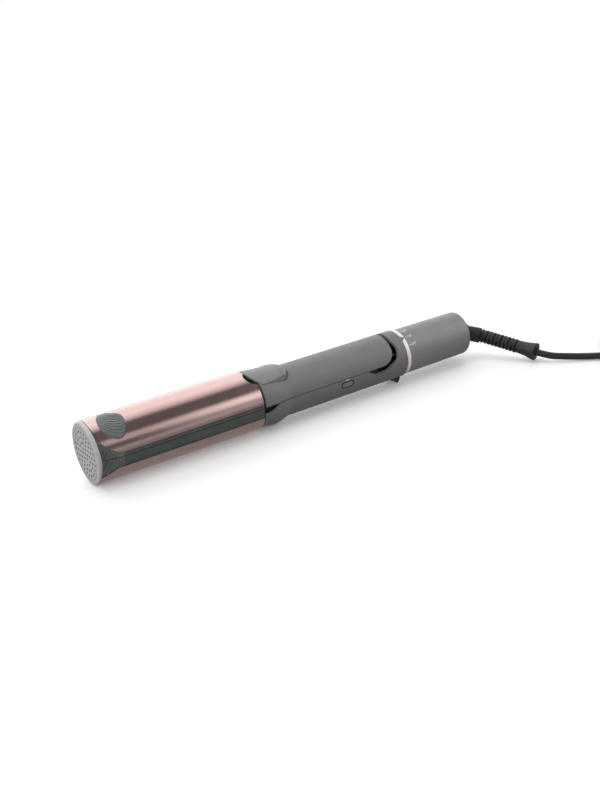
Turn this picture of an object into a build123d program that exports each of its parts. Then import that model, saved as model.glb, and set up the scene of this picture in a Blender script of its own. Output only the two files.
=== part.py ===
from build123d import *
import os
from math import asin, ceil, cos, degrees, dist, pi, radians, sin, sqrt, tan

# Two-in-one hair straightener and curling wand, in millimetres. The tool lies along X with its
# tip at -X, stands on the underside of its round barrel and on the lock slider's fin, and rests
# at the origin. Two half round arms close on each other at the seam. The upper arm swings on a
# pin near the rear of the handle, and a temperature dial and a swivelling cord close the tail.
# A station is a distance from the tip face along the axis, and a rise is a height above the axis.

os.makedirs("parts", exist_ok=True)

# Lengths along the axis, from the tip face to the rear face of the dial
barrel_length = 113.6
barrel_to_handle = 1.8
hinge_from_handle_front = 92.1
arm_rear_radius = 9.8
collar_gap = 2.7
collar_length = 8.3
ring_width = 3.1
dial_gap = 0.2
dial_length = 52.4
bush_stand = 3.0

handle_front = barrel_length + barrel_to_handle
hinge_station = handle_front + hinge_from_handle_front
arm_rear = hinge_station + arm_rear_radius
collar_front = arm_rear + collar_gap
ring_front = collar_front + collar_length
dial_front = ring_front + ring_width + dial_gap
dial_rear = dial_front + dial_length
overall_length = dial_rear + bush_stand

# Cross-section of the barrel and the handle
barrel_radius = 20.0
barrel_rise = 1.2
shell_wall = 1.2
strip_recess = 0.6
handle_radius = 16.6
tail_radius = 16.2
handle_wall = 1.8
arm_gap = 0.4
plate_gap = 0.2
fit = 0.1
running_gap = 0.06

axis_height = barrel_radius - barrel_rise
tip_x = -overall_length / 2
shell_bore = barrel_radius - shell_wall
strip_radius = barrel_radius - strip_recess
seam = arm_gap / 2
hinge_rise = arm_rear_radius + seam
reach = 3 * barrel_radius

# Grey strip between the two rose shells, and the tip
upper_strip_rise = 2.9
lower_strip_drop = 6.6
carrier_height = 4.7
tip_plate_thickness = 2.4
tip_plate_foot = 1.4
tip_plate_gap = 0.3
tip_plate_rounding = 1.1
tip_groove_radius = 16.5
tip_groove_width = 0.6
tip_groove_depth = 0.4
vent_radius = 0.6
vent_depth = 0.9
vent_pitch = 3.5
vent_ring_count = 4
cap_length = 17.0
scoop_depth = 3.7
scoop_length = 17.6
upper_scoop_edge_rise = 13.6
upper_scoop_edge_station = 3.7
upper_scoop_sag = 1.15
lower_scoop_edge_drop = 10.4
lower_scoop_edge_station = 12.5

# Plates and heaters
plate_width = 26.0
plate_length = 88.0
plate_thickness = 1.5
plate_front = 20.0
plate_corner = 2.0
heater_width = 14.0
heater_length = 62.0
heater_thickness = 2.2
sensor_room = 7.0
spigot_width = 26.0
spigot_length = 17.0
spigot_wall = 4.0

# Ribbed cool pad on the near side of the upper shell's tip: each point is a station and the
# angle round the barrel from its top towards +Y
tip_pad_points = (
    (16.9, 6.6),
    (14.0, 7.5),
    (10.7, -2.9),
    (8.9, -16.9),
    (8.6, -36.9),
    (10.7, -50.8),
    (14.4, -58.8),
    (17.9, -60.5),
    (20.6, -56.1),
    (23.0, -45.6),
    (24.5, -30.7),
    (23.9, -14.5),
    (19.9, -2.0),
)
tip_pad_middle = (17.0, -23.6)
tip_pad_proud = 0.5
tip_pad_backing = 1.0

# Thumb pad on the front of the handle
thumb_overhang = 5.2
thumb_corner_setback = 7.5
thumb_pad_length = 29.3
thumb_front_inset = 2.6
thumb_rear_inset = 4.2
thumb_rear_rounding = 7.3
thumb_front_sink = 0.3
thumb_middle_lift = 2.6
thumb_rear_lift = 2.3
thumb_floor = 1.0
thumb_groove = 0.6
thumb_lip = 1.7
notch_nose_gap = 0.6
notch_nose_half = 4.0
notch_lobe_lead = 2.0
notch_lobe_half = 9.9

# Handle covers, screws and hinge
cover_thickness = 1.4
cover_gap = 0.6
pin_radius = 1.5
ear_thickness = 1.8
ear_spacing = 5.2
ear_radius = 3.0
lug_thickness = 2.0
lug_radius = 2.6
spring_wire = 0.8
spring_radius = 2.6
spring_turns = 3
bracket_length = 14.0
bracket_width = 14.0
bracket_thickness = 1.2
bracket_drop = 10.8
arm_opening = 15.0
screw_radius = 1.1
screw_head_radius = 2.0
screw_head_height = 1.2
post_radius = 3.0

# Lock slider
lock_travel = 4.5
fin_length = 6.7
fin_width = 12.0
fin_station = collar_front + 4.8
slider_neck_length = 3.7
slider_bar_width = 4.0
slider_bar_thickness = 1.5
slider_bar_drop = 8.0
hook_length = 5.0
hook_neck = 2.0
hook_height = 1.2
hook_clearance = 0.4
hook_from_hinge = 15.5

# Power button
button_from_handle_front = 63.4
button_drop = 3.9
bezel_length = 10.0
bezel_height = 4.8
bezel_wall = 0.7
bezel_depth = 3.3
button_proud = 0.15
button_travel = 0.7
button_flange = 0.5
lens_length = 3.0
lens_height = 0.7
lens_drop = 0.85

# Accent ring, dial and core tube
ring_radius = 15.65
dial_front_radius = 15.55
dial_rear_radius = 15.05
dial_wall = 1.6
dial_end_wall = 2.0
dial_rounding = 2.4
core_radius = 12.5
core_wall = 1.8
flange_thickness = 1.6
cable_hole_radius = 7.4
index_angle = 52.0
index_half_angle = 8.5
index_length = 2.75
bearing_width = 3.0

# Cord swivel and strain relief
ball_radius = 7.44
socket_gap = 0.06
ball_set_back = 1.7
bush_length = 15.0
bush_nose_radius = 9.4
bush_bore = 3.0
relief_neck_radius = 3.7
relief_root_radius = 5.3
relief_rib_radius = 4.75
relief_rib_pitch = 2.8
relief_ribs = 10
relief_flare_radius = 6.2

# Cord, coil and plug
cord_diameter = 4.6
coil_pitch = 5.1
coil_inner_radius = 21.5
coil_layer_turns = (2.5, 2.25, 2.25, 2.25)
coil_start_angle = 213.0
tie_thickness = 0.6
tie_width = 9.0
tie_gap = 0.35
tie_angle = 80.0
plug_width = 26.0
plug_thickness = 13.7
plug_length = 34.0
pin_diameter = 4.0
pin_length = 19.0
pin_spacing = 18.6


def section(station, rise=0.0):
    """Plane across the tool at a station: drawn right is +Y, drawn up is +Z."""
    return Plane(origin=(tip_x + station, 0, axis_height + rise), x_dir=(0, 1, 0), z_dir=(1, 0, 0))


def level(rise):
    """Level plane at a rise: drawn right is the station, drawn up is +Y."""
    return Plane(origin=(tip_x, 0, axis_height + rise), x_dir=(1, 0, 0), z_dir=(0, 0, 1))


def side(offset=0.0):
    """Upright plane along the tool: drawn right is the station, drawn up is the rise."""
    return Plane(origin=(tip_x, offset, axis_height), x_dir=(1, 0, 0), z_dir=(0, -1, 0))


def place(station, across, rise):
    """A point of the tool as a point of the model."""
    return Vector(tip_x + station, across, axis_height + rise)


def save(part, name):
    """Labels a finished piece and writes its file."""
    part.label = name
    export_step(part, f"parts/{name}.step")


def polygon(*points):
    """A closed outline of straight lines in the current sketch."""
    with BuildLine() as outline:
        Polyline(*points, close=True)
    make_face(outline.edges())


# Side outlines of the rose shells

cap_front = tip_plate_thickness + tip_plate_gap


def upper_shell_outline():
    """The upper shell seen from the side: its front edge sweeps back round the finger scoop."""
    corner = (upper_scoop_edge_station, upper_scoop_edge_rise)
    foot = (scoop_length - 1.1, upper_strip_rise)
    middle = (
        (corner[0] + foot[0]) / 2 - upper_scoop_sag,
        (corner[1] + foot[1]) / 2 - upper_scoop_sag,
    )
    with BuildLine() as outline:
        Polyline((cap_front, reach), (cap_front, barrel_radius), corner)
        ThreePointArc(corner, middle, foot)
        Polyline(foot, (barrel_length, upper_strip_rise), (barrel_length, reach), (cap_front, reach))
    make_face(outline.edges())


def lower_shell_outline():
    """The lower shell seen from the side: its front edge rises round the finger scoop."""
    polygon(
        (tip_plate_foot, -reach),
        (tip_plate_foot, -lower_scoop_edge_drop),
        (lower_scoop_edge_station, -lower_strip_drop),
        (barrel_length, -lower_strip_drop),
        (barrel_length, -reach),
    )


def plate_back_outline(gap):
    """The tip plate's room seen from the side, out to its back and a gap behind it."""
    polygon(
        (-1, reach),
        (tip_plate_thickness + gap, reach),
        (tip_plate_thickness + gap, 0),
        (tip_plate_foot + gap, -lower_scoop_edge_drop),
        (tip_plate_foot + gap, -reach),
        (-1, -reach),
    )


def on_barrel(angle):
    """Distance across of a point on the barrel at an angle round from its top."""
    return barrel_radius * sin(radians(angle))


def tip_pad_outline(grown):
    """The ribbed pad seen from above: a smooth closed curve, its points moved out by grown."""
    middle = Vector(tip_pad_middle[0], on_barrel(tip_pad_middle[1]))
    points = []
    for station, angle in tip_pad_points:
        away = Vector(station, on_barrel(angle)) - middle
        points.append(middle + away * (1 + grown / away.length))
    with BuildLine() as outline:
        Spline(*points, periodic=True)
    make_face(outline.edges())


with BuildPart() as upper_shell_block:
    with BuildSketch(side()):
        upper_shell_outline()
    extrude(amount=reach, both=True)

with BuildPart() as lower_shell_block:
    with BuildSketch(side()):
        lower_shell_outline()
    extrude(amount=reach, both=True)


# Thumb pad: a raised saddle that overhangs the barrel with a pointed front

thumb_front = handle_front - thumb_overhang
thumb_rear = thumb_front + thumb_pad_length
thumb_half = handle_radius - thumb_front_inset
thumb_rear_half = handle_radius - thumb_rear_inset
thumb_rise_front = barrel_radius + barrel_rise - thumb_front_sink
thumb_rise_middle = handle_radius + thumb_middle_lift
thumb_rise_rear = handle_radius + thumb_rear_lift


def thumb_outline():
    """The thumb pad seen from above: a bowed front, tapered flanks and round rear corners."""
    corner = thumb_front + thumb_corner_setback
    rear_corner = thumb_rear - thumb_rear_rounding
    rear_half = thumb_rear_half - thumb_rear_rounding
    turn = thumb_rear_rounding * sin(radians(45))
    with BuildLine() as outline:
        ThreePointArc((corner, -thumb_half), (thumb_front, 0), (corner, thumb_half))
        for way in (-1, 1):
            Line((corner, way * thumb_half), (rear_corner, way * thumb_rear_half))
            ThreePointArc(
                (rear_corner, way * thumb_rear_half),
                (rear_corner + turn, way * (rear_half + turn)),
                (thumb_rear, way * rear_half),
            )
        Line((thumb_rear, -rear_half), (thumb_rear, rear_half))
    make_face(outline.edges())


def notch_outline():
    """The barrel shell's notch seen from above: two lobes that reach further than the pad."""
    nose = thumb_front - notch_nose_gap
    lobe = thumb_front - notch_lobe_lead
    with BuildLine() as outline:
        Line((nose, -notch_nose_half), (nose, notch_nose_half))
        for way in (-1, 1):
            ThreePointArc(
                (nose, way * notch_nose_half),
                (lobe, way * notch_lobe_half),
                (barrel_length + 1, way * thumb_half),
            )
        Line((barrel_length + 1, -thumb_half), (barrel_length + 1, thumb_half))
    make_face(outline.edges())


def thumb_surface(lift):
    """Body of revolution under the pad's saddle, lifted by lift."""
    rear_foot = handle_radius - 1.0
    with BuildPart() as body:
        with BuildSketch(side()):
            with BuildLine() as profile:
                Line((thumb_front - 1, 0), (thumb_front - 1, thumb_rise_front + lift))
                ThreePointArc(
                    (thumb_front - 1, thumb_rise_front + lift),
                    (thumb_front + 7.5, thumb_rise_middle + 0.65 + lift),
                    (thumb_front + 17, thumb_rise_middle + lift),
                )
                ThreePointArc(
                    (thumb_front + 17, thumb_rise_middle + lift),
                    (thumb_front + 24.5, thumb_rise_rear + lift),
                    (thumb_front + 29, thumb_rise_rear - 1.5 + lift),
                )
                Polyline(
                    (thumb_front + 29, thumb_rise_rear - 1.5 + lift),
                    (thumb_rear + 2, rear_foot + lift),
                    (thumb_rear + 2, 0),
                    (thumb_front - 1, 0),
                )
            make_face(profile.edges())
        revolve(axis=Axis((0, 0, axis_height), (1, 0, 0)))
    return body.part


# Barrel shells

with BuildPart() as upper_barrel_shell:
    with BuildSketch(section(0, barrel_rise)):
        Circle(barrel_radius)
        Circle(shell_bore, mode=Mode.SUBTRACT)
    extrude(amount=barrel_length)
    add(upper_shell_block.part, mode=Mode.INTERSECT)
    with BuildSketch(level(0)):
        tip_pad_outline(2 * fit)
    extrude(amount=reach, mode=Mode.SUBTRACT)
    with BuildSketch(level(0)):
        notch_outline()
    extrude(amount=reach, mode=Mode.SUBTRACT)
save(upper_barrel_shell.part, "upper_barrel_shell")

with BuildPart() as lower_barrel_shell:
    with BuildSketch(section(0, barrel_rise)):
        Circle(barrel_radius)
        Circle(shell_bore, mode=Mode.SUBTRACT)
    extrude(amount=barrel_length)
    add(lower_shell_block.part, mode=Mode.INTERSECT)
save(lower_barrel_shell.part, "lower_barrel_shell")


# Tip pad: it fills the window of the shell and stands a little proud

tip_pad_half = max(abs(on_barrel(angle)) for station, angle in tip_pad_points)
tip_pad_floor = barrel_rise + sqrt(shell_bore**2 - tip_pad_half**2)

with BuildPart() as upper_tip_pad:
    with BuildSketch(level(tip_pad_floor)):
        tip_pad_outline(0)
    extrude(amount=reach)
    with BuildSketch(section(0, barrel_rise)):
        Circle(barrel_radius + tip_pad_proud)
        Circle(shell_bore - fit - tip_pad_backing, mode=Mode.SUBTRACT)
    extrude(amount=barrel_length, mode=Mode.INTERSECT)
save(upper_tip_pad.part, "upper_tip_pad")


# Tip plate: a full disc with a round front edge, a groove and rings of blind vent holes

with BuildPart() as tip_disc:
    with BuildSketch(section(0, barrel_rise)):
        Circle(barrel_radius - fit)
    extrude(amount=tip_plate_thickness)
    fillet(tip_disc.edges().group_by(Axis.X)[0], radius=tip_plate_rounding)
    with BuildSketch(side()):
        plate_back_outline(0)
    extrude(amount=reach, both=True, mode=Mode.INTERSECT)

with BuildPart() as tip_plate:
    add(tip_disc.part)
    with BuildSketch(section(0, barrel_rise)):
        Circle(tip_groove_radius + tip_groove_width / 2)
        Circle(tip_groove_radius - tip_groove_width / 2, mode=Mode.SUBTRACT)
    extrude(amount=tip_groove_depth, mode=Mode.SUBTRACT)
    with BuildSketch(section(0, barrel_rise)):
        Circle(vent_radius)
        for ring in range(1, vent_ring_count + 1):
            with PolarLocations(vent_pitch * ring, 6 * ring):
                Circle(vent_radius)
    extrude(amount=vent_depth, mode=Mode.SUBTRACT)
save(tip_plate.part, "tip_plate")


# Tip caps: the flared scoop behind the plate and a plug inside the shell

with BuildPart() as tip_body:
    with BuildSketch(section(tip_plate_foot, barrel_rise)):
        Circle(strip_radius)
    extrude(amount=cap_length - tip_plate_foot)
    scoop_floor = barrel_radius - scoop_depth
    for way in (-1, 1):
        with BuildSketch(level(-reach)):
            with BuildLine():
                Polyline(
                    (scoop_length, way * reach),
                    (-1, way * reach),
                    (-1, way * scoop_floor),
                    (tip_plate_foot, way * scoop_floor),
                )
                ThreePointArc(
                    (tip_plate_foot, way * scoop_floor),
                    (scoop_length * 0.52, way * (scoop_floor + scoop_depth * 0.4)),
                    (scoop_length, way * barrel_radius),
                )
                Line((scoop_length, way * barrel_radius), (scoop_length, way * reach))
            make_face()
        extrude(amount=2 * reach, mode=Mode.SUBTRACT)

with BuildPart() as shell_seat:
    with BuildSketch(section(0, barrel_rise)):
        Circle(barrel_radius + 1)
        Circle(shell_bore - fit, mode=Mode.SUBTRACT)
    extrude(amount=barrel_length)

with BuildPart() as upper_tip_cap:
    add(tip_body.part)
    add(upper_shell_block.part.intersect(shell_seat.part), mode=Mode.SUBTRACT)
    with BuildSketch(side()):
        plate_back_outline(tip_plate_gap)
    extrude(amount=reach, both=True, mode=Mode.SUBTRACT)
    with BuildSketch(level(0)):
        tip_pad_outline(2 * fit)
    extrude(amount=reach, mode=Mode.SUBTRACT)
    with BuildSketch(level(seam)):
        Rectangle(2 * reach, 2 * reach)
    extrude(amount=reach, mode=Mode.INTERSECT)
save(upper_tip_cap.part, "upper_tip_cap")

with BuildPart() as lower_tip_cap:
    add(tip_body.part)
    add(lower_shell_block.part.intersect(shell_seat.part), mode=Mode.SUBTRACT)
    add(tip_disc.part, mode=Mode.SUBTRACT)
    with BuildSketch(level(-seam)):
        Rectangle(2 * reach, 2 * reach)
    extrude(amount=-reach, mode=Mode.INTERSECT)
save(lower_tip_cap.part, "lower_tip_cap")


# Plate carriers: the grey strip, a tongue inside the shell, the plate's pocket and a spigot

plate_face = plate_gap / 2
plate_back = plate_face + plate_thickness
heater_back = plate_back + heater_thickness
plate_middle = plate_front + plate_length / 2
spigot_end = barrel_length + spigot_length


def carrier(way, strip_edge, carrier_top):
    """A plate carrier; way is 1 for the upper arm and -1 for the lower."""
    with BuildPart() as body:
        with BuildSketch(section(cap_length, barrel_rise)) as profile:
            Circle(strip_radius)
            with Locations((0, way * (seam + strip_edge) / 2 - barrel_rise)):
                Rectangle(reach, strip_edge - seam, mode=Mode.INTERSECT)
        extrude(amount=barrel_length - cap_length)
        with BuildSketch(section(cap_length, barrel_rise)):
            Circle(shell_bore - fit)
            with Locations((0, way * (strip_edge + carrier_top) / 2 - barrel_rise)):
                Rectangle(reach, carrier_top - strip_edge, mode=Mode.INTERSECT)
        if carrier_top > strip_edge:
            extrude(amount=barrel_length - cap_length)
        with BuildSketch(section(barrel_length)):
            with Locations((0, way * (cover_gap + spigot_wall / 2))):
                Rectangle(spigot_width, spigot_wall)
        extrude(amount=spigot_length)
        with BuildSketch(level(0)):
            with Locations((plate_middle, 0)):
                Rectangle(plate_length + 2 * fit, plate_width + 2 * fit)
        extrude(amount=way * plate_back, mode=Mode.SUBTRACT)
        with BuildSketch(level(0)):
            with Locations((plate_middle + sensor_room / 2, 0)):
                Rectangle(heater_length + 2 * fit + sensor_room, heater_width + 2 * fit)
        extrude(amount=way * (heater_back + fit), mode=Mode.SUBTRACT)
    return body.part


def plate(way):
    """A straightening plate with rounded corners."""
    with BuildPart() as body:
        with BuildSketch(level(way * plate_face)):
            with Locations((plate_middle, 0)):
                RectangleRounded(plate_length, plate_width, plate_corner)
        extrude(amount=way * plate_thickness)
    return body.part


def heater(way):
    """The flat heater behind a plate."""
    with BuildPart() as body:
        with BuildSketch(level(way * plate_back)):
            with Locations((plate_middle, 0)):
                Rectangle(heater_length, heater_width)
        extrude(amount=way * heater_thickness)
    return body.part


save(carrier(1, upper_strip_rise, carrier_height), "upper_plate_carrier")
save(carrier(-1, lower_strip_drop, lower_strip_drop), "lower_plate_carrier")
save(plate(1), "upper_heater_plate")
save(plate(-1), "lower_heater_plate")
save(heater(1), "upper_heating_element")
save(heater(-1), "lower_heating_element")


# Handle form: it flares to the barrel at the front and tapers slowly to the tail

lower_handle_front = handle_front - 0.9
waist_station = handle_front + 24.0
front_radius = strip_radius
front_rise = 0.65
front_chamfer = 0.6


def handle_form(inset):
    """The handle and collar as one round body, drawn in by inset on every side."""
    flare = (
        (lower_handle_front, front_radius, front_rise),
        (handle_front + 6.6, handle_radius + 2.45, 0.27),
        (handle_front + 13.4, handle_radius + 1.65, -0.35),
        (handle_front + 17.4, handle_radius + 0.7, -0.15),
        (handle_front + 20.6, handle_radius + 0.05, 0.0),
        (waist_station, handle_radius, 0.0),
    )
    with BuildPart() as form:
        for station, radius, rise in flare:
            with BuildSketch(section(station, rise)):
                Circle(radius - inset)
        loft()
        with BuildSketch(section(waist_station)):
            Circle(handle_radius - inset)
        with BuildSketch(section(ring_front)):
            Circle(tail_radius - inset)
        loft(ruled=True)
    return form.part


handle_solid = handle_form(0)
handle_hollow = handle_form(handle_wall)


def tail_radius_at(station):
    """Outer radius of the handle behind its waist."""
    share = (station - waist_station) / (ring_front - waist_station)
    return handle_radius + (tail_radius - handle_radius) * share


def arm_outline(inset, top, bottom):
    """The upper arm seen from the side, with its rear end rounded about the hinge."""
    front = handle_front + inset
    radius = arm_rear_radius - inset
    with BuildLine() as outline:
        Polyline(
            (hinge_station + radius, hinge_rise),
            (hinge_station + radius, top),
            (front, top),
            (front, bottom),
            (hinge_station, bottom),
            (hinge_station, hinge_rise - radius),
        )
        ThreePointArc(
            (hinge_station, hinge_rise - radius),
            (hinge_station + radius * cos(radians(45)), hinge_rise - radius * sin(radians(45))),
            (hinge_station + radius, hinge_rise),
        )
    make_face(outline.edges())


def front_cone(station):
    """Cone whose skin takes the sharp outer edge off the front of a handle half."""
    with BuildPart() as cone:
        with BuildSketch(section(station, front_rise)):
            Circle(front_radius - front_chamfer)
        with BuildSketch(section(station + 2 * reach, front_rise)):
            Circle(front_radius - front_chamfer + 2 * reach)
        loft(ruled=True)
    return cone.part


with BuildPart() as thumb_pad:
    with BuildSketch(level(0)):
        thumb_outline()
    extrude(amount=reach)
    add(thumb_surface(0), mode=Mode.INTERSECT)
    add(handle_form(thumb_floor), mode=Mode.SUBTRACT)
    with BuildSketch(section(0, barrel_rise)):
        Circle(barrel_radius - thumb_lip)
    extrude(amount=handle_front, mode=Mode.SUBTRACT)
save(thumb_pad.part, "thumb_pad")


# Upper handle half

lug_inner = ear_spacing / 2 + ear_thickness + 0.3
slot_half = ear_spacing / 2 + ear_thickness + 0.25
slot_sweep = degrees(asin(ear_radius / (arm_rear_radius - handle_wall))) + arm_opening + 2
slot_end = hinge_station + arm_rear_radius * sin(radians(slot_sweep))
cover_front = spigot_end + 0.5
cover_rear = hinge_station - ear_radius - 1.5
cover_top = cover_gap + cover_thickness
post_stations = (cover_front + 8, cover_rear - 30)

with BuildPart() as arm_cavity:
    add(handle_hollow)
    with BuildSketch(side()):
        arm_outline(handle_wall, reach, -reach)
    extrude(amount=reach, both=True, mode=Mode.INTERSECT)

with BuildPart() as thumb_recess:
    with BuildSketch(level(0)):
        thumb_outline()
        offset(amount=thumb_groove)
    extrude(amount=reach)
    add(handle_form(thumb_floor), mode=Mode.SUBTRACT)

with BuildPart() as upper_handle_shell:
    add(handle_solid)
    with BuildSketch(side()):
        arm_outline(0, reach, seam)
    extrude(amount=reach, both=True, mode=Mode.INTERSECT)
    add(front_cone(handle_front), mode=Mode.INTERSECT)
    add(arm_cavity.part, mode=Mode.SUBTRACT)
    add(thumb_recess.part, mode=Mode.SUBTRACT)
    # Opening in the front wall for the carrier's spigot
    with BuildSketch(section(handle_front - 1)):
        with Locations((0, cover_gap + spigot_wall / 2)):
            Rectangle(spigot_width + 2 * fit, spigot_wall + 2 * cover_gap)
    extrude(amount=handle_wall + 2, mode=Mode.SUBTRACT)
    # Screw posts from the ceiling down to the cover, and hinge lugs
    with BuildSketch(level(cover_top)):
        with Locations([(station, 0) for station in post_stations]):
            Circle(post_radius)
    extrude(until=Until.NEXT)
    with BuildSketch(level(cover_top)):
        with Locations([(station, 0) for station in post_stations]):
            Circle(screw_radius)
    extrude(amount=6, mode=Mode.SUBTRACT)
    for way in (-1, 1):
        with BuildSketch(side(-way * (lug_inner + lug_thickness / 2))):
            with Locations((hinge_station, hinge_rise)):
                Circle(lug_radius)
            with Locations((hinge_station, hinge_rise + lug_radius)):
                Rectangle(2 * lug_radius, 2 * lug_radius)
            with Locations((hinge_station, hinge_rise)):
                Circle(pin_radius + running_gap, mode=Mode.SUBTRACT)
        extrude(amount=lug_thickness / 2, both=True)
    add(handle_form(0), mode=Mode.INTERSECT)
    # Slot in the rear wall that lets the bracket's ears in as the arm swings
    with BuildSketch(level(0)):
        with Locations(((cover_rear + slot_end) / 2, 0)):
            Rectangle(slot_end - cover_rear, 2 * slot_half)
    extrude(amount=hinge_rise, mode=Mode.SUBTRACT)
save(upper_handle_shell.part, "upper_handle_shell")

# Lower handle half with the collar

hinge_point = (hinge_station, hinge_rise)
crescent_radius = arm_rear_radius + collar_gap
wedge_end = lower_handle_front + 10.9
wedge_drop = 4.1
band_width = 3.5
band_foot = 8.0
wedge_pocket_drop = 8.5


def lower_outline():
    """The lower half and collar seen from the side: wedge at the front, crescent at the rear."""
    seam_hit = hinge_station - sqrt(crescent_radius**2 - (hinge_rise + seam) ** 2)
    lowest = hinge_rise - crescent_radius
    with BuildLine() as outline:
        ThreePointArc(
            (lower_handle_front, -wedge_drop),
            (lower_handle_front + 6.1, -wedge_drop + 0.8),
            (wedge_end, -seam),
        )
        Line((wedge_end, -seam), (seam_hit, -seam))
        ThreePointArc(
            (seam_hit, -seam),
            (hinge_station, lowest),
            (hinge_station + crescent_radius, hinge_rise),
        )
        Polyline(
            (hinge_station + crescent_radius, hinge_rise),
            (hinge_station + crescent_radius, reach),
            (ring_front, reach),
            (ring_front, -reach),
            (lower_handle_front, -reach),
            (lower_handle_front, -wedge_drop),
        )
    make_face(outline.edges())


# Planes of the button, seen from the near side
button_station = handle_front + button_from_handle_front
button_face = sqrt(tail_radius_at(button_station) ** 2 - button_drop**2)


def near_side(across):
    """Upright plane on the near side at a distance from the middle, centred on the button."""
    return Plane(
        origin=place(button_station, -across, -button_drop), x_dir=(1, 0, 0), z_dir=(0, -1, 0)
    )


slider_neck_station = fin_station - 0.6
slider_neck_rear = slider_neck_station + slider_neck_length / 2
slider_slot_front = slider_neck_rear - slider_neck_length - lock_travel - 2 * fit
slider_slot_rear = slider_neck_rear + 2 * fit
slider_neck_width = 5.0
board_posts = [(x, y) for x in (handle_front + 32, handle_front + 68) for y in (-8, 8)]
bracket_holes = [(hinge_station + x, y) for x in (-4.8, 4.8) for y in (-5.0, 5.0)]
board_drop = 10.2
board_thickness = 1.2

with BuildPart() as index_pointer:
    pointer_half = tail_radius * sin(radians(index_half_angle))
    turned = Plane(
        origin=(tip_x + ring_front, 0, axis_height),
        x_dir=(1, 0, 0),
        z_dir=(0, -cos(radians(index_angle)), sin(radians(index_angle))),
    )
    with BuildSketch(turned):
        polygon((-0.4, -pointer_half), (-0.4, pointer_half), (index_length, 0))
    extrude(amount=reach)
    with BuildSketch(section(ring_front - 0.4)):
        Circle(tail_radius)
        Circle(core_radius + core_wall, mode=Mode.SUBTRACT)
    extrude(amount=ring_width, mode=Mode.INTERSECT)

with BuildPart() as lower_cavity:
    add(handle_hollow)
    with BuildSketch(section(lower_handle_front + handle_wall)):
        Circle(reach)
    extrude(amount=ring_front - handle_wall - lower_handle_front - handle_wall, mode=Mode.INTERSECT)

# Bevel round the crescent gap: on each side a cone about the hinge, wider at the skin
with BuildPart() as crescent_bevel:
    for way in (-1, 1):
        with BuildSketch(side(way * band_foot)):
            with Locations(hinge_point):
                Circle(crescent_radius)
        with BuildSketch(side(way * (handle_radius + 1))):
            with Locations(hinge_point):
                Circle(crescent_radius + band_width)
        loft(ruled=True)

# Room behind the wedge, so that it looks deep and dark
with BuildPart() as wedge_pocket:
    add(handle_hollow)
    with BuildSketch(section(lower_handle_front)):
        Rectangle(2 * reach, 2 * wedge_pocket_drop)
    extrude(amount=handle_wall + fit, mode=Mode.INTERSECT)

with BuildPart() as lower_handle_shell:
    add(handle_solid)
    with BuildSketch(side()):
        lower_outline()
    extrude(amount=reach, both=True, mode=Mode.INTERSECT)
    add(front_cone(lower_handle_front), mode=Mode.INTERSECT)
    add(lower_cavity.part, mode=Mode.SUBTRACT)
    add(crescent_bevel.part, mode=Mode.SUBTRACT)
    # Openings in the front wall behind the wedge and for the carrier's spigot
    add(wedge_pocket.part, mode=Mode.SUBTRACT)
    with BuildSketch(section(lower_handle_front - 1)):
        with Locations((0, -cover_gap - spigot_wall / 2)):
            Rectangle(spigot_width + 2 * fit, spigot_wall + 2 * cover_gap)
    extrude(amount=handle_wall + 2, mode=Mode.SUBTRACT)
    # Cable hole through the collar's end wall, and holes for the core tube's screws
    with BuildSketch(section(ring_front - handle_wall - 1)):
        Circle(cable_hole_radius)
        with PolarLocations((core_radius - core_wall + cable_hole_radius) / 2, 3, start_angle=90):
            Circle(screw_radius)
    extrude(amount=handle_wall + 2, mode=Mode.SUBTRACT)
    # Slot for the lock slider's neck
    with BuildSketch(level(-reach)):
        with Locations(((slider_slot_front + slider_slot_rear) / 2, 0)):
            Rectangle(slider_slot_rear - slider_slot_front, slider_neck_width + 2 * fit)
    extrude(amount=reach - slider_bar_drop, mode=Mode.SUBTRACT)
    # Posts for the board, the cover and the bracket, grown from the floor
    with BuildSketch(level(-board_drop)):
        with Locations(board_posts):
            Circle(1.6)
    extrude(until=Until.NEXT, dir=(0, 0, -1))
    with BuildSketch(level(-cover_top)):
        with Locations([(station, 0) for station in post_stations]):
            Circle(post_radius)
    extrude(until=Until.NEXT, dir=(0, 0, -1))
    with BuildSketch(level(-cover_top)):
        with Locations([(station, 0) for station in post_stations]):
            Circle(screw_radius)
    extrude(amount=-6, mode=Mode.SUBTRACT)
    with BuildSketch(level(-bracket_drop - bracket_thickness)):
        with Locations(bracket_holes):
            Circle(1.8)
    extrude(until=Until.NEXT, dir=(0, 0, -1))
    # Button hole and the light guide's hole
    with BuildSketch(near_side(0)):
        SlotOverall(bezel_length + fit, bezel_height + fit)
        with Locations((0, button_drop - lens_drop)):
            SlotOverall(lens_length, lens_height, mode=Mode.ADD)
    extrude(amount=reach, mode=Mode.SUBTRACT)
    add(index_pointer.part)
save(lower_handle_shell.part, "lower_handle_shell")


# Inner covers, with the lock's opening, and their screws

hook_front = hinge_station - hook_from_hinge - hook_length
hook_rear = hook_front + hook_length
hook_half = slider_bar_width / 2 + 1.0
cover_half = sqrt((min(handle_radius, tail_radius) - handle_wall) ** 2 - cover_top**2) - 0.3
notch_depth = 3.0
keeper_front = hook_rear - hook_neck - lock_travel - 0.3
keeper_rear = hook_rear + 2.2


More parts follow.
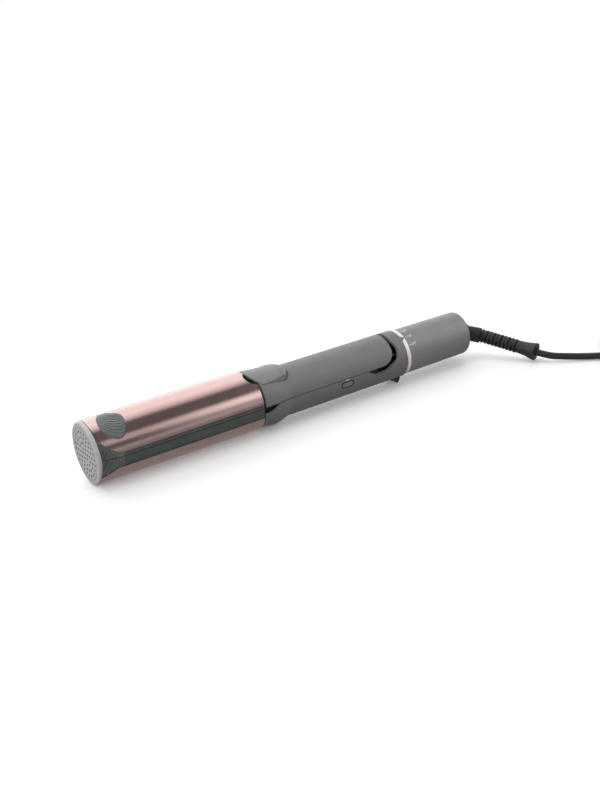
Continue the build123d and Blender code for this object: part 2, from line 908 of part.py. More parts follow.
def cover(way, opening_front, opening_rear, opening_half):
    """A flat inner cover; way is 1 for the upper arm and -1 for the lower."""
    with BuildPart() as body:
        with BuildSketch(level(way * cover_gap)):
            with Locations(((cover_front + cover_rear) / 2, 0)):
                Rectangle(cover_rear - cover_front, 2 * cover_half)
            with Locations(((opening_front + opening_rear) / 2, 0)):
                Rectangle(opening_rear - opening_front, 2 * opening_half, mode=Mode.SUBTRACT)
            with Locations([(station, 0) for station in post_stations]):
                Circle(screw_radius, mode=Mode.SUBTRACT)
            if way < 0:
                with Locations((button_station, -cover_half)):
                    Rectangle(bezel_length + 3, 2 * notch_depth, mode=Mode.SUBTRACT)
        extrude(amount=way * cover_thickness)
    return body.part


def flat_screws(way):
    """The two flat head screws of a cover, heads inside the gap between the arms."""
    with BuildPart() as body:
        with BuildSketch(level(way * cover_gap)):
            with Locations([(station, 0) for station in post_stations]):
                Circle(screw_head_radius)
        extrude(amount=-way * (cover_gap - seam) / 2)
        with BuildSketch(level(way * cover_gap)):
            with Locations([(station, 0) for station in post_stations]):
                Circle(screw_radius - 0.05)
        extrude(amount=way * (cover_thickness + 5))
    return body.part


save(cover(1, keeper_front, keeper_rear, hook_half + 0.3), "upper_inner_cover")
save(
    cover(-1, hook_rear - hook_neck - lock_travel - 0.2, hook_rear + 0.2, slider_bar_width / 2 + 0.2),
    "lower_inner_cover",
)
save(flat_screws(1), "upper_cover_screws")
save(flat_screws(-1), "lower_cover_screws")

# Hinge bracket, pin and closing spring

with BuildPart() as hinge_bracket:
    with BuildSketch(level(-bracket_drop - bracket_thickness)):
        with Locations((hinge_station, 0)):
            Rectangle(bracket_length, bracket_width)
        with Locations(bracket_holes):
            Circle(screw_radius, mode=Mode.SUBTRACT)
    extrude(amount=bracket_thickness)
    for way in (-1, 1):
        with BuildSketch(side(-way * (ear_spacing + ear_thickness) / 2)):
            with Locations(hinge_point):
                Circle(ear_radius)
            with Locations((hinge_station, (hinge_rise - bracket_drop) / 2)):
                Rectangle(2 * ear_radius, hinge_rise + bracket_drop)
            with Locations(hinge_point):
                Circle(pin_radius, mode=Mode.SUBTRACT)
        extrude(amount=ear_thickness / 2, both=True)
save(hinge_bracket.part, "hinge_bracket")

with BuildPart() as bracket_screws:
    with BuildSketch(level(-bracket_drop)):
        with Locations(bracket_holes):
            Circle(screw_head_radius * 0.8)
    extrude(amount=screw_head_height)
    with BuildSketch(level(-bracket_drop)):
        with Locations(bracket_holes):
            Circle(screw_radius - 0.05)
    extrude(amount=-bracket_thickness)
save(bracket_screws.part, "bracket_screws")

pin_half = lug_inner + lug_thickness
with BuildPart() as hinge_pin:
    with BuildSketch(side()):
        with Locations(hinge_point):
            Circle(pin_radius)
    extrude(amount=pin_half, both=True)
save(hinge_pin.part, "hinge_pin")


def biarcs(points, tangents):
    """Tangent arcs through the points in the current line, two arcs from each to the next."""
    for start, end, leave, arrive in zip(points, points[1:], tangents, tangents[1:]):
        chord = end - start
        total = leave + arrive
        spread = 2 * (1 - leave.dot(arrive))
        along = chord.dot(total)
        step = (sqrt(along**2 + spread * chord.dot(chord)) - along) / spread
        near = start + leave * step
        far = end - arrive * step
        join = (near + far) * 0.5
        TangentArc(start, join, tangent=leave)
        TangentArc(join, end, tangent=(far - near).normalized())


def least_gap(path, diameter, name):
    """Prints the least gap between stretches of one tube, measured on points of its middle."""
    count = ceil(path.length / (0.4 * diameter))
    points = [tuple(path.position_at(i / count)) for i in range(count + 1)]
    apart = ceil(2 * diameter / (path.length / count)) + 1
    least = min(
        dist(points[i], points[j]) for i in range(count + 1) for j in range(i + apart, count + 1)
    )
    print(f"{name}: length {path.length:.1f}, least gap to itself {least - diameter:.2f}")


def tube(path, diameter):
    """A round tube along a path, square to its start."""
    with BuildPart() as body:
        with BuildSketch(Plane(origin=path.position_at(0), z_dir=path.tangent_at(0))):
            Circle(diameter / 2)
        sweep(path=path)
    return body.part


spring_leg = 9.0
spring_pitch = 1.3
spring_points = []
spring_tangents = []
for quarter in range(4 * spring_turns + 1):
    turn = pi / 2 * quarter
    across = spring_pitch * (quarter / 4 - spring_turns / 2)
    spring_points.append(
        place(hinge_station + spring_radius * sin(turn), across, hinge_rise + spring_radius * cos(turn))
    )
    slope = spring_pitch / (2 * pi * spring_radius)
    spring_tangents.append(Vector(cos(turn), slope, -sin(turn)).normalized())
with BuildLine() as spring_line:
    Line(spring_points[0] - spring_tangents[0] * spring_leg, spring_points[0])
    biarcs(spring_points, spring_tangents)
    Line(spring_points[-1], spring_points[-1] + spring_tangents[-1] * spring_wire)
spring_path = spring_line.wire()
least_gap(spring_path, spring_wire, "hinge_spring")
save(tube(spring_path, spring_wire), "hinge_spring")

# Circuit board, its parts, the button's switch and the wiring

board_front = handle_front + 28.5
board_rear = handle_front + 71.0
board_half = 10.0
board_top = -board_drop + board_thickness
switch_length = 6.0
switch_height = 3.4
switch_depth = 3.4
plunger_radius = 1.2
plunger_length = 2.2
button_inner = button_face - bezel_depth
flange_inner = button_inner - button_flange
switch_outer = flange_inner - button_travel - 0.5
switch_board_thickness = 1.2
switch_board_outer = switch_outer - switch_depth

with BuildPart() as circuit_board:
    with BuildSketch(level(-board_drop)):
        with Locations(((board_front + board_rear) / 2, 0)):
            Rectangle(board_rear - board_front, 2 * board_half)
        with Locations((post_stations[1], 0)):
            Circle(post_radius + 0.3, mode=Mode.SUBTRACT)
    extrude(amount=board_thickness)
save(circuit_board.part, "circuit_board")

with BuildPart() as board_components:
    with BuildSketch(level(board_top)):
        with Locations((board_front + 7, 3.0)):
            Circle(3.6)
    extrude(amount=5.0)
    with BuildSketch(level(board_top)):
        with Locations((board_front + 17, -1.0)):
            Rectangle(10, 8)
        with Locations((board_front + 36, 4.0)):
            Rectangle(4, 6)
    extrude(amount=3.6)
save(board_components.part, "board_components")

with BuildPart() as switch_board:
    with BuildSketch(near_side(switch_board_outer)):
        with Locations((0, (button_drop - cover_top - 0.15 + board_top + button_drop) / 2)):
            Rectangle(12, -cover_top - 0.15 - board_top)
    extrude(amount=-switch_board_thickness)
save(switch_board.part, "switch_board")

with BuildPart() as tact_switch:
    with BuildSketch(near_side(switch_board_outer)):
        Rectangle(switch_length, switch_height)
    extrude(amount=switch_depth)
    with BuildSketch(near_side(switch_outer)):
        Circle(plunger_radius + fit)
    plunger_room = plunger_length - (flange_inner - switch_outer) + button_travel + 0.1
    extrude(amount=-plunger_room, mode=Mode.SUBTRACT)
save(tact_switch.part, "tact_switch")

with BuildPart() as switch_plunger:
    with BuildSketch(near_side(flange_inner)):
        Circle(plunger_radius)
    extrude(amount=-plunger_length)
save(switch_plunger.part, "switch_plunger")

with BuildPart() as button_bezel:
    with BuildSketch(near_side(button_inner)):
        SlotOverall(bezel_length, bezel_height)
        SlotOverall(bezel_length - 2 * bezel_wall, bezel_height - 2 * bezel_wall, mode=Mode.SUBTRACT)
    extrude(amount=reach)
    add(handle_form(-button_proud / 2), mode=Mode.INTERSECT)
save(button_bezel.part, "button_bezel")

with BuildPart() as power_button:
    with BuildSketch(near_side(button_inner - fit)):
        SlotOverall(
            bezel_length - 2 * bezel_wall - 2 * fit, bezel_height - 2 * bezel_wall - 2 * fit
        )
    extrude(amount=reach)
    add(handle_form(-button_proud), mode=Mode.INTERSECT)
    with BuildSketch(near_side(button_inner - fit)):
        SlotOverall(bezel_length - bezel_wall, bezel_height - bezel_wall)
    extrude(amount=-(button_flange - fit))
save(power_button.part, "power_button")

with BuildPart() as indicator_lens:
    with BuildSketch(near_side(button_face - handle_wall - 0.6)):
        with Locations((0, button_drop - lens_drop)):
            SlotOverall(lens_length, lens_height)
    extrude(amount=reach)
    add(handle_form(-0.05), mode=Mode.INTERSECT)
save(indicator_lens.part, "indicator_lens")


def wire(points, radii, diameter):
    """An insulated wire along rounded straight runs."""
    with BuildLine() as line:
        FilletPolyline(*points, radius=radii)
    return tube(line.wire(), diameter)


lead_diameter = 1.6
lead_spread = 4.0
lead_run = 40.0
with BuildPart() as upper_heater_leads:
    for way in (-1, 1):
        lead_rise = cover_gap + spigot_wall + lead_diameter / 2 + 0.4
        points = [
            place(handle_front + 3, way * lead_spread, lead_rise),
            place(handle_front + lead_run, way * lead_spread, lead_rise),
            place(cover_rear - 6, way * (lead_spread + 2.6), lead_rise + 1.5),
        ]
        add(wire(points, [12.0], lead_diameter))
save(upper_heater_leads.part, "upper_heater_leads")

with BuildPart() as lower_heater_leads:
    for way in (-1, 1):
        lead_rise = -cover_gap - spigot_wall - lead_diameter / 2 - 0.4
        points = [
            place(handle_front + 3, way * lead_spread, lead_rise),
            place(board_front - 8, way * lead_spread, lead_rise),
            place(board_front - 0.2, way * lead_spread, -board_drop + 1.0),
        ]
        add(wire(points, [6.0], lead_diameter))
save(lower_heater_leads.part, "lower_heater_leads")

with BuildPart() as mains_leads:
    for way in (-1, 1):
        points = [
            place(board_rear + 0.4, way * 5.8, -bracket_drop + 2.6),
            place(hinge_station + 9, way * 5.8, -bracket_drop + 2.6),
            place(ring_front - 1, way * 4.6, -3.0),
            place(dial_rear - 16.0, way * 1.6, 0),
        ]
        add(wire(points, [10.0, 12.0], lead_diameter))
save(mains_leads.part, "mains_leads")

with BuildPart() as thermistor:
    with BuildSketch(level(-plate_back)):
        with Locations((plate_middle + (heater_length + sensor_room) / 2 + fit, 0)):
            Rectangle(sensor_room - 2, 3)
    extrude(amount=-heater_thickness * 0.7)
save(thermistor.part, "thermistor")

with BuildPart() as thermal_cutout:
    with BuildSketch(level(plate_back)):
        with Locations((plate_middle + (heater_length + sensor_room) / 2 + fit, 0)):
            RectangleRounded(sensor_room - 2, 4, 1)
    extrude(amount=heater_thickness * 0.8)
save(thermal_cutout.part, "thermal_cutout")

# Lock slider: fin outside, bar inside, hook that reaches over the upper cover's edge

with BuildPart() as lock_slider:
    with BuildSketch(side()):
        polygon(
            (fin_station - fin_length / 2, -tail_radius + 2.5),
            (fin_station + fin_length / 2, -tail_radius + 2.5),
            (fin_station + 0.6, -axis_height),
            (fin_station - 0.6, -axis_height),
        )
    extrude(amount=fin_width / 2, both=True)
    add(handle_form(-fit), mode=Mode.SUBTRACT)
    with BuildSketch(level(-tail_radius - 1.0)):
        with Locations((slider_neck_station, 0)):
            Rectangle(slider_neck_length, slider_neck_width)
    extrude(amount=tail_radius + 1.0 - slider_bar_drop)
    with BuildSketch(level(-slider_bar_drop)):
        with Locations(((slider_neck_rear + hook_rear - hook_neck) / 2, 0)):
            Rectangle(slider_neck_rear - hook_rear + hook_neck, slider_bar_width)
    extrude(amount=slider_bar_thickness)
    with BuildSketch(side()):
        hook_foot = cover_top + hook_clearance
        polygon(
            (hook_rear - hook_neck, -slider_bar_drop),
            (hook_rear, -slider_bar_drop),
            (hook_rear, hook_foot + hook_height),
            (hook_front, hook_foot + hook_height),
            (hook_front, hook_foot),
            (hook_rear - hook_neck, hook_foot),
        )
    extrude(amount=slider_bar_width / 2, both=True)
save(lock_slider.part, "lock_slider")

# Accent ring with its notch, core tube and selector board

with BuildPart() as accent_ring:
    with BuildSketch(section(ring_front)):
        Circle(ring_radius)
        Circle(core_radius + core_wall + fit / 2, mode=Mode.SUBTRACT)
    extrude(amount=ring_width)
    with BuildSketch(turned):
        polygon(
            (-0.4, -pointer_half - fit),
            (-0.4, pointer_half + fit),
            (index_length + 1.5 * fit, 0),
        )
    extrude(amount=reach, mode=Mode.SUBTRACT)
save(accent_ring.part, "accent_ring")

flange_radius = core_radius + core_wall - fit / 2
core_bore = core_radius - core_wall
ball_station = dial_rear + ball_set_back
core_rear = dial_rear - dial_end_wall - 2.5
core_screw_circle = (core_bore + cable_hole_radius) / 2
core_screw_radius = 0.95

with BuildPart() as core_tube:
    with BuildSketch(section(ring_front)):
        Circle(flange_radius)
        Circle(cable_hole_radius, mode=Mode.SUBTRACT)
        with PolarLocations(core_screw_circle, 3, start_angle=90):
            Circle(screw_radius, mode=Mode.SUBTRACT)
    extrude(amount=flange_thickness)
    with BuildSketch(section(ring_front + flange_thickness)):
        Circle(core_radius)
        Circle(core_bore, mode=Mode.SUBTRACT)
    extrude(amount=core_rear - ring_front - flange_thickness)
save(core_tube.part, "core_tube")

with BuildPart() as core_screws:
    with BuildSketch(section(ring_front + flange_thickness)):
        with PolarLocations(core_screw_circle, 3, start_angle=90):
            Circle((core_bore - cable_hole_radius) / 2 - fit)
    extrude(amount=screw_head_height)
    with BuildSketch(section(ring_front + flange_thickness)):
        with PolarLocations(core_screw_circle, 3, start_angle=90):
            Circle(core_screw_radius)
    extrude(amount=-flange_thickness - handle_wall)
save(core_screws.part, "core_screws")

selector_thickness = 1.2
dial_bore = dial_front_radius - dial_wall
with BuildPart() as selector_board:
    with BuildSketch(section(ring_front + flange_thickness)):
        Circle(dial_bore - 2 * fit)
        Circle(core_radius + fit, mode=Mode.SUBTRACT)
    extrude(amount=selector_thickness)
save(selector_board.part, "selector_board")

# Temperature dial: a tapered sleeve that turns on two bearing rings, with a round rear edge

with BuildPart() as temperature_dial:
    with BuildSketch(section(dial_front)):
        Circle(dial_front_radius)
    with BuildSketch(section(dial_rear)):
        Circle(dial_rear_radius)
    loft(ruled=True)
    fillet(temperature_dial.edges().group_by(Axis.X)[-1], radius=dial_rounding)
    chamfer(temperature_dial.edges().group_by(Axis.X)[0], length=0.3)
    with BuildSketch(section(dial_front)):
        Circle(dial_bore)
    with BuildSketch(section(dial_rear - dial_end_wall)):
        Circle(dial_rear_radius - dial_wall)
    loft(ruled=True, mode=Mode.SUBTRACT)
    with BuildSketch(section(dial_rear - dial_end_wall - 1)):
        Circle(bush_nose_radius + 2 * fit)
    extrude(amount=dial_end_wall + 2, mode=Mode.SUBTRACT)
    for station in (dial_front + 5, core_rear - bearing_width - 4):
        with BuildSketch(section(station)):
            Circle(dial_bore + 0.2)
            Circle(core_radius + running_gap, mode=Mode.SUBTRACT)
        extrude(amount=bearing_width)
save(temperature_dial.part, "temperature_dial")

with BuildPart() as selector_wiper:
    with BuildSketch(section(dial_front + 0.1)):
        Circle(dial_bore - 0.05)
        Circle(core_radius + 4 * running_gap, mode=Mode.SUBTRACT)
        with Locations((0, reach / 2)):
            Rectangle(5, reach, mode=Mode.INTERSECT)
    extrude(amount=4.9)
save(selector_wiper.part, "selector_wiper")

# Swivel bush: it turns in the core tube's rear and holds the cord's ball

bush_flange_thickness = 2.0
with BuildPart() as swivel_bush:
    with BuildSketch(section(dial_rear + bush_stand)):
        Circle(bush_nose_radius)
    extrude(amount=-(bush_stand + dial_end_wall + bush_flange_thickness))
    chamfer(swivel_bush.edges().group_by(Axis.X)[-1], length=0.6)
    with BuildSketch(section(core_rear + running_gap)):
        Circle(core_radius - fit)
    extrude(amount=bush_flange_thickness)
    with BuildSketch(section(core_rear + running_gap)):
        Circle(core_bore - running_gap)
    extrude(amount=-bush_length + 5)
    with Locations(place(ball_station, 0, 0)):
        Sphere(ball_radius + socket_gap, mode=Mode.SUBTRACT)
    with BuildSketch(section(ball_station)):
        Circle(bush_bore)
    extrude(amount=-bush_length - 5, mode=Mode.SUBTRACT)
save(swivel_bush.part, "swivel_bush")

# Strain relief: ball, smooth root, ribs and a flared end along a bending line

relief_bend = Vector(153.5, -10.6, 14.8)
relief_end = Vector(169.7, -47.3, 6.2)
relief_bend_radius = 36.0
relief_root_start = 7.9
relief_root_end = 14.9
relief_cone_start = 6.6
relief_rib_start = 15.6
relief_flare_length = 13.6

ball_centre = place(ball_station, 0, 0)
with BuildLine() as relief_line:
    FilletPolyline(ball_centre, relief_bend, relief_end, radius=relief_bend_radius)
relief_path = relief_line.wire()
relief_length = relief_path.length


def across_relief(distance):
    """Plane square to the relief at a distance from the ball's centre."""
    along = relief_path.tangent_at(distance, position_mode=PositionMode.LENGTH)
    return Plane(
        origin=relief_path.position_at(distance, position_mode=PositionMode.LENGTH),
        x_dir=Vector(0, 0, 1).cross(along),
        z_dir=along,
    )


with BuildPart() as strain_relief:
    with Locations(ball_centre):
        Sphere(ball_radius)
    with BuildSketch(across_relief(0)):
        Circle(relief_neck_radius)
    sweep(path=relief_path)
    for distance, radius in (
        (relief_cone_start, relief_neck_radius + 0.2),
        (relief_root_start, relief_root_radius),
        ((relief_root_start + relief_root_end) / 2, relief_root_radius),
        (relief_root_end, relief_root_radius),
    ):
        with BuildSketch(across_relief(distance)):
            Circle(radius)
    loft(ruled=True)
    for rib in range(relief_ribs):
        start = relief_rib_start + relief_rib_pitch * rib
        for distance, radius in (
            (start, relief_neck_radius + 0.3),
            (start + 0.3, relief_rib_radius),
            (start + 1.5, relief_rib_radius),
            (start + 1.8, relief_neck_radius + 0.3),
        ):
            with BuildSketch(across_relief(distance)):
                Circle(radius)
        loft(ruled=True)
    for distance, radius in (
        (relief_length - relief_flare_length, relief_rib_radius - 0.3),
        (relief_length - relief_flare_length / 2, relief_rib_radius + 0.2),
        (relief_length, relief_flare_radius),
    ):
        with BuildSketch(across_relief(distance)):
            Circle(radius)
    loft()
save(strain_relief.part, "strain_relief")

# Cord: the free run, the put away coil and the tail to the plug

cord_radius = cord_diameter / 2
coil_middle = Vector(243.5, -84.6, 0)
coil_floor = cord_radius + tie_thickness + 0.1
turns_total = sum(coil_layer_turns)
reversals = [sum(coil_layer_turns[: i + 1]) for i in range(len(coil_layer_turns) - 1)]


def coil_radius(turns):
    """Radius of the spiral, which runs in, out, in and out again at one pitch a turn."""
    radius = coil_inner_radius + coil_pitch * coil_layer_turns[0]
    way = -1
    start = 0
    for layer in coil_layer_turns:
        radius += way * coil_pitch * (min(turns, start + layer) - start)
        if turns <= start + layer:
            return radius
        start += layer
        way = -way
    return radius


def coil_height(turns):
    """Height of the middle of the cord: one pitch more with each reversal, in half a turn."""
    height = coil_floor
    for reversal in reversals:
        share = min(max((turns - reversal) * 2 + 0.5, 0), 1)
        height += coil_pitch * share
    return height


def coil_slope(turns):
    """Rise of the cord per turn, steepest at a reversal."""
    steepest = 1.5 * coil_pitch * 2
    return steepest if any(abs(turns - reversal) < 0.01 for reversal in reversals) else 0.0


coil_points = []
coil_tangents = []
for quarter in range(int(4 * turns_total) + 1):
    turns = quarter / 4
    angle = radians(coil_start_angle + 360 * turns)
    radius = coil_radius(turns)
    outward = (coil_radius(turns + 0.05) - coil_radius(turns - 0.05)) / 0.1
    if turns < 0.1 or turns > turns_total - 0.1:
        outward = 0
    coil_points.append(
        coil_middle + Vector(radius * cos(angle), radius * sin(angle), coil_height(turns))
    )
    coil_tangents.append(
        Vector(
            outward / (2 * pi) * cos(angle) - radius * sin(angle),
            outward / (2 * pi) * sin(angle) + radius * cos(angle),
            coil_slope(turns) / (2 * pi),
        ).normalized()
    )
coil_start = coil_points[0] - coil_tangents[0] * cord_diameter
coil_end = coil_points[-1] + coil_tangents[-1] * cord_diameter
with BuildLine() as coil_line:
    Line(coil_start, coil_points[0])
    biarcs(coil_points, coil_tangents)
    Line(coil_points[-1], coil_end)
coil_path = coil_line.wire()
least_gap(coil_path, cord_diameter, "cord_coil")
save(tube(coil_path, cord_diameter), "cord_coil")


def bend_radii(points):
    """The radius of each corner: 0.45 of its shorter run over the tangent of half its turn."""
    radii = []
    for before, corner, after in zip(points, points[1:], points[2:]):
        arriving = corner - before
        leaving = after - corner
        turn = radians(arriving.get_angle(leaving))
        radii.append(0.45 * min(arriving.length, leaving.length) / tan(turn / 2))
    return radii


def free_cord(points, name):
    """A round cord along straight runs and tangent arcs; prints its radii and its volume."""
    radii = bend_radii(points)
    with BuildLine() as line:
        FilletPolyline(*points, radius=radii)
    path = line.wire()
    body = tube(path, cord_diameter)
    ideal = pi * cord_radius**2 * path.length
    print(f"{name}: length {path.length:.1f}, volume ratio {body.volume / ideal:.4f}")
    print("  radii", [round(radius, 1) for radius in radii])
    save(body, name)
    return path.length


relief_way = (relief_end - relief_bend).normalized()
cord_points = [
    relief_end,
    relief_end + relief_way * 9.6,
    Vector(180.1, -62.2, 3.4),
    Vector(189.7, -70.9, 2.4),
    Vector(199.2, -81.1, 2.6),
    coil_start - coil_tangents[0] * 10.7,
    coil_start,
]
tail_points = [
    coil_end,
    coil_end + coil_tangents[-1] * 12.0,
    Vector(285.3, -93.3, 15.2),
    Vector(293.2, -81.2, 11.6),
    Vector(295.7, -68.6, 8.6),
    Vector(296.3, -57.0, 6.85),
    Vector(297.5, -45.7, 6.85),
]
run_length = free_cord(cord_points, "cord")
tail_length = free_cord(tail_points, "cord_tail")
print(f"whole cord {run_length + coil_path.length + tail_length:.0f}")

# Plug: a flat two pin body that lies beside the coil

plug_way = (tail_points[-1] - tail_points[-2]).normalized()
plug_across = Vector(0, 0, 1).cross(plug_way)


def across_plug(distance):
    """Plane square to the plug at a distance from the cord's end."""
    return Plane(origin=tail_points[-1] + plug_way * distance, x_dir=plug_across, z_dir=plug_way)


with BuildPart() as plug_body:
    with BuildSketch(across_plug(0)):
        RectangleRounded(9.0, 8.0, 2.5)
    with BuildSketch(across_plug(plug_length * 0.45)):
        RectangleRounded(12.0, 10.5, 3.0)
    loft(ruled=True)
    with BuildSketch(across_plug(plug_length * 0.45)):
        RectangleRounded(12.0, 10.5, 3.0)
    with BuildSketch(across_plug(plug_length * 0.75)):
        RectangleRounded(plug_width, plug_thickness, 4.0)
    with BuildSketch(across_plug(plug_length)):
        RectangleRounded(plug_width, plug_thickness, 4.0)
    loft(ruled=True)
save(plug_body.part, "plug_body")

with BuildPart() as plug_pins:
    with BuildSketch(across_plug(plug_length)):
        with GridLocations(pin_spacing, 1, 2, 1):
            Circle(pin_diameter / 2)
    extrude(amount=pin_length)
    fillet(plug_pins.faces().filter_by(GeomType.PLANE).sort_by(Axis.Y)[-2:].edges(), radius=1.2)
save(plug_pins.part, "plug_pins")

# Tie: a flat strap round all the turns of the coil

coil_outer_radius = coil_inner_radius + coil_pitch * max(coil_layer_turns) + cord_radius + tie_gap
coil_hollow_radius = coil_inner_radius - cord_radius - tie_gap
coil_stack = (len(coil_layer_turns) - 1) * coil_pitch + cord_diameter
with BuildPart() as cord_tie:
    strap = Plane(
        origin=coil_middle,
        x_dir=(cos(radians(tie_angle)), sin(radians(tie_angle)), 0),
        z_dir=(sin(radians(tie_angle)), -cos(radians(tie_angle)), 0),
    )
    span = coil_outer_radius - coil_hollow_radius
    with BuildSketch(strap):
        strap_height = tie_thickness + coil_stack / 2 + 0.15
        with Locations(((coil_outer_radius + coil_hollow_radius) / 2, strap_height)):
            Rectangle(span + 2 * tie_thickness + 1.6, coil_stack + 2 * tie_thickness + 0.3)
            Rectangle(span + 1.6, coil_stack + 0.3, mode=Mode.SUBTRACT)
    extrude(amount=tie_width / 2, both=True)
save(cord_tie.part, "cord_tie")
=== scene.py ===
import math

import bmesh
import bpy
from mathutils import Matrix, Vector


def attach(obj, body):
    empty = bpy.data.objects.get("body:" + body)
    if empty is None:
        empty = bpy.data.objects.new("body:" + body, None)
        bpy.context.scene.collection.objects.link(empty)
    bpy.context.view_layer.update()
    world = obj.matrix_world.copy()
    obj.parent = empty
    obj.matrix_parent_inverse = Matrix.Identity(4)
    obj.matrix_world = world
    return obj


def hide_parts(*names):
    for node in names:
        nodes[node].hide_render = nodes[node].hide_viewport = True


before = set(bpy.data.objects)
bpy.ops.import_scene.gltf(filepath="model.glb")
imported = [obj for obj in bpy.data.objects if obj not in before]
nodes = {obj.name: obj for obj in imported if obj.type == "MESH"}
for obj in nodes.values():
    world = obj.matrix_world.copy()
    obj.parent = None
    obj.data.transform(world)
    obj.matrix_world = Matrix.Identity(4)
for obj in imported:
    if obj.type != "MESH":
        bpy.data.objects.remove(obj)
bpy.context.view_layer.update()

# Places on the tool: a station is the distance from the tip, in millimetres
MM = 0.001
TIP = -143.5
AXIS_HEIGHT = 18.8
# Values closer than this count as the same
NEAR = 1e-6


def place(station, across, rise):
    """A point from its station, its distance across and its height over the tool's axis."""
    return Vector((station + TIP, across, rise + AXIS_HEIGHT)) * MM


# Camera and power cord come first

# The lens and its place, fitted to the photo's outline, in millimetres
EYE_LENS = 54.34
EYE_SPOT = Vector((-354.6, -649.6, 287.9))

eye = bpy.data.cameras.new("camera")
eye.lens = EYE_LENS
eye.clip_start = 0.01
camera = bpy.data.objects.new("camera", eye)
bpy.context.scene.collection.objects.link(camera)
eye_right = Vector((0.84323, -0.52294, -0.12448))
eye_up = Vector((0.28582, 0.24005, 0.92773))
eye_back = eye_right.cross(eye_up)
turn = Matrix((eye_right, eye_up, eye_back)).transposed().to_4x4()
camera.matrix_world = Matrix.Translation(EYE_SPOT * MM) @ turn
bpy.context.scene.camera = camera

CORD_DIAMETER = 4.6
COIL_PITCH = 5.1
COIL_MIDDLE = (243.5, -84.6)
COIL_INNER_RADIUS = 21.5
COIL_LAYERS = (2.5, 2.25, 2.25, 2.25)
COIL_START_ANGLE = 213
COIL_FLOOR = 3.0
POINTS_PER_TURN = 16
# A spline of this order runs inside its points by this much of their radius
SPLINE_INSET = 0.981

relief_bend = Vector((153.5, -10.6, 14.8))
relief_end = Vector((169.7, -47.3, 6.2))
relief_way = (relief_end - relief_bend).normalized()


def coil_point(turns):
    """A point of the put away coil: in, out, in and out again, one pitch higher at each reversal."""
    radius = COIL_INNER_RADIUS + COIL_PITCH * COIL_LAYERS[0]
    height = COIL_FLOOR
    way = -1
    start = 0
    for layer in COIL_LAYERS:
        radius += way * COIL_PITCH * (max(start, min(turns, start + layer)) - start)
        start += layer
        way = -way
        if start < sum(COIL_LAYERS):
            height += COIL_PITCH * min(max((turns - start) * 2 + 0.5, 0), 1)
    angle = math.radians(COIL_START_ANGLE + 360 * turns)
    return Vector((
        COIL_MIDDLE[0] + radius / SPLINE_INSET * math.cos(angle),
        COIL_MIDDLE[1] + radius / SPLINE_INSET * math.sin(angle),
        height,
    ))


turns_total = sum(COIL_LAYERS)
steps = int(POINTS_PER_TURN * turns_total)
coil_points = [coil_point(turns_total * (step + 0.5) / steps) for step in range(steps)]
cord_route = [
    relief_end,
    relief_end + relief_way * 9.6,
    Vector((180.1, -62.2, 3.4)),
    Vector((189.7, -70.9, 2.4)),
    Vector((199.2, -81.1, 2.6)),
    Vector((206.5, -90.5, 3.0)),
    Vector((212.3, -99.4, 3.0)),
    *coil_points,
    Vector((275.4, -103.2, 17.9)),
    Vector((285.3, -93.3, 15.2)),
    Vector((293.2, -81.2, 11.6)),
    Vector((295.7, -68.6, 8.6)),
    Vector((296.3, -57.0, 6.85)),
    Vector((297.5, -45.7, 6.85)),
]


def spline_curve(name, points, radius):
    """A smooth open curve that follows listed points, given in millimetres."""
    data = bpy.data.curves.new(name, "CURVE")
    data.dimensions = "3D"
    spline = data.splines.new("NURBS")
    spline.points.add(len(points) - 1)
    for point, target in zip(spline.points, points):
        point.co = (*(target * MM), 1)
        point.radius = radius * MM
    spline.order_u = 3
    spline.use_endpoint_u = True
    data.resolution_u = 6
    curve = bpy.data.objects.new(name, data)
    bpy.context.scene.collection.objects.link(curve)
    return curve


power_cord = spline_curve("power_cord", cord_route, CORD_DIAMETER / 2)
power_cord.data.bevel_depth = 1.0
power_cord.data.bevel_resolution = 6
power_cord.data.use_fill_caps = True
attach(power_cord, "main")
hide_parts("cord", "cord_coil", "cord_tail")

# Ways of working that the modelled pieces share


def hold(piece):
    """Deselect all else and make this piece the one that the next step works on."""
    bpy.ops.object.select_all(action="DESELECT")
    piece.select_set(True)
    bpy.context.view_layer.objects.active = piece


def settle(piece):
    """Move a piece's place, turn and size into its mesh."""
    hold(piece)
    bpy.ops.object.transform_apply(location=True, rotation=True, scale=True)


def pick(piece, kind, test):
    """In edit mode, select just those verts, edges or faces whose middle passes a test."""
    shape = bmesh.from_edit_mesh(piece.data)
    for group in (shape.verts, shape.edges, shape.faces):
        for one in group:
            one.select_set(False)
    for one in getattr(shape, kind):
        if kind == "verts":
            chosen = test(one.co)
        elif kind == "edges":
            chosen = test((one.verts[0].co + one.verts[1].co) / 2)
        else:
            chosen = test(one.calc_center_median())
        if chosen:
            one.select_set(True)
    shape.select_flush_mode()
    bmesh.update_edit_mesh(piece.data)


def work(piece, kind, **settings):
    """Give the piece a modifier and apply it."""
    hold(piece)
    modifier = piece.modifiers.new(kind.lower(), kind)
    for name, value in settings.items():
        setattr(modifier, name, value)
    bpy.ops.object.modifier_apply(modifier=modifier.name)


def break_edges(piece, width, angle):
    """Round the edges sharper than an angle in degrees by a width in millimetres."""
    work(
        piece, "BEVEL", width=width * MM, segments=2, limit_method="ANGLE",
        angle_limit=math.radians(angle),
    )


def face_outward(piece):
    """Turn every face of a piece outward."""
    hold(piece)
    bpy.ops.object.mode_set(mode="EDIT")
    bpy.ops.mesh.select_all(action="SELECT")
    bpy.ops.mesh.normals_make_consistent(inside=False)
    bpy.ops.object.mode_set(mode="OBJECT")


def join(pieces, name):
    """Make several meshes one piece."""
    hold(pieces[0])
    for piece in pieces[1:]:
        piece.select_set(True)
    bpy.ops.object.join()
    joined = bpy.context.object
    joined.name = name
    return joined


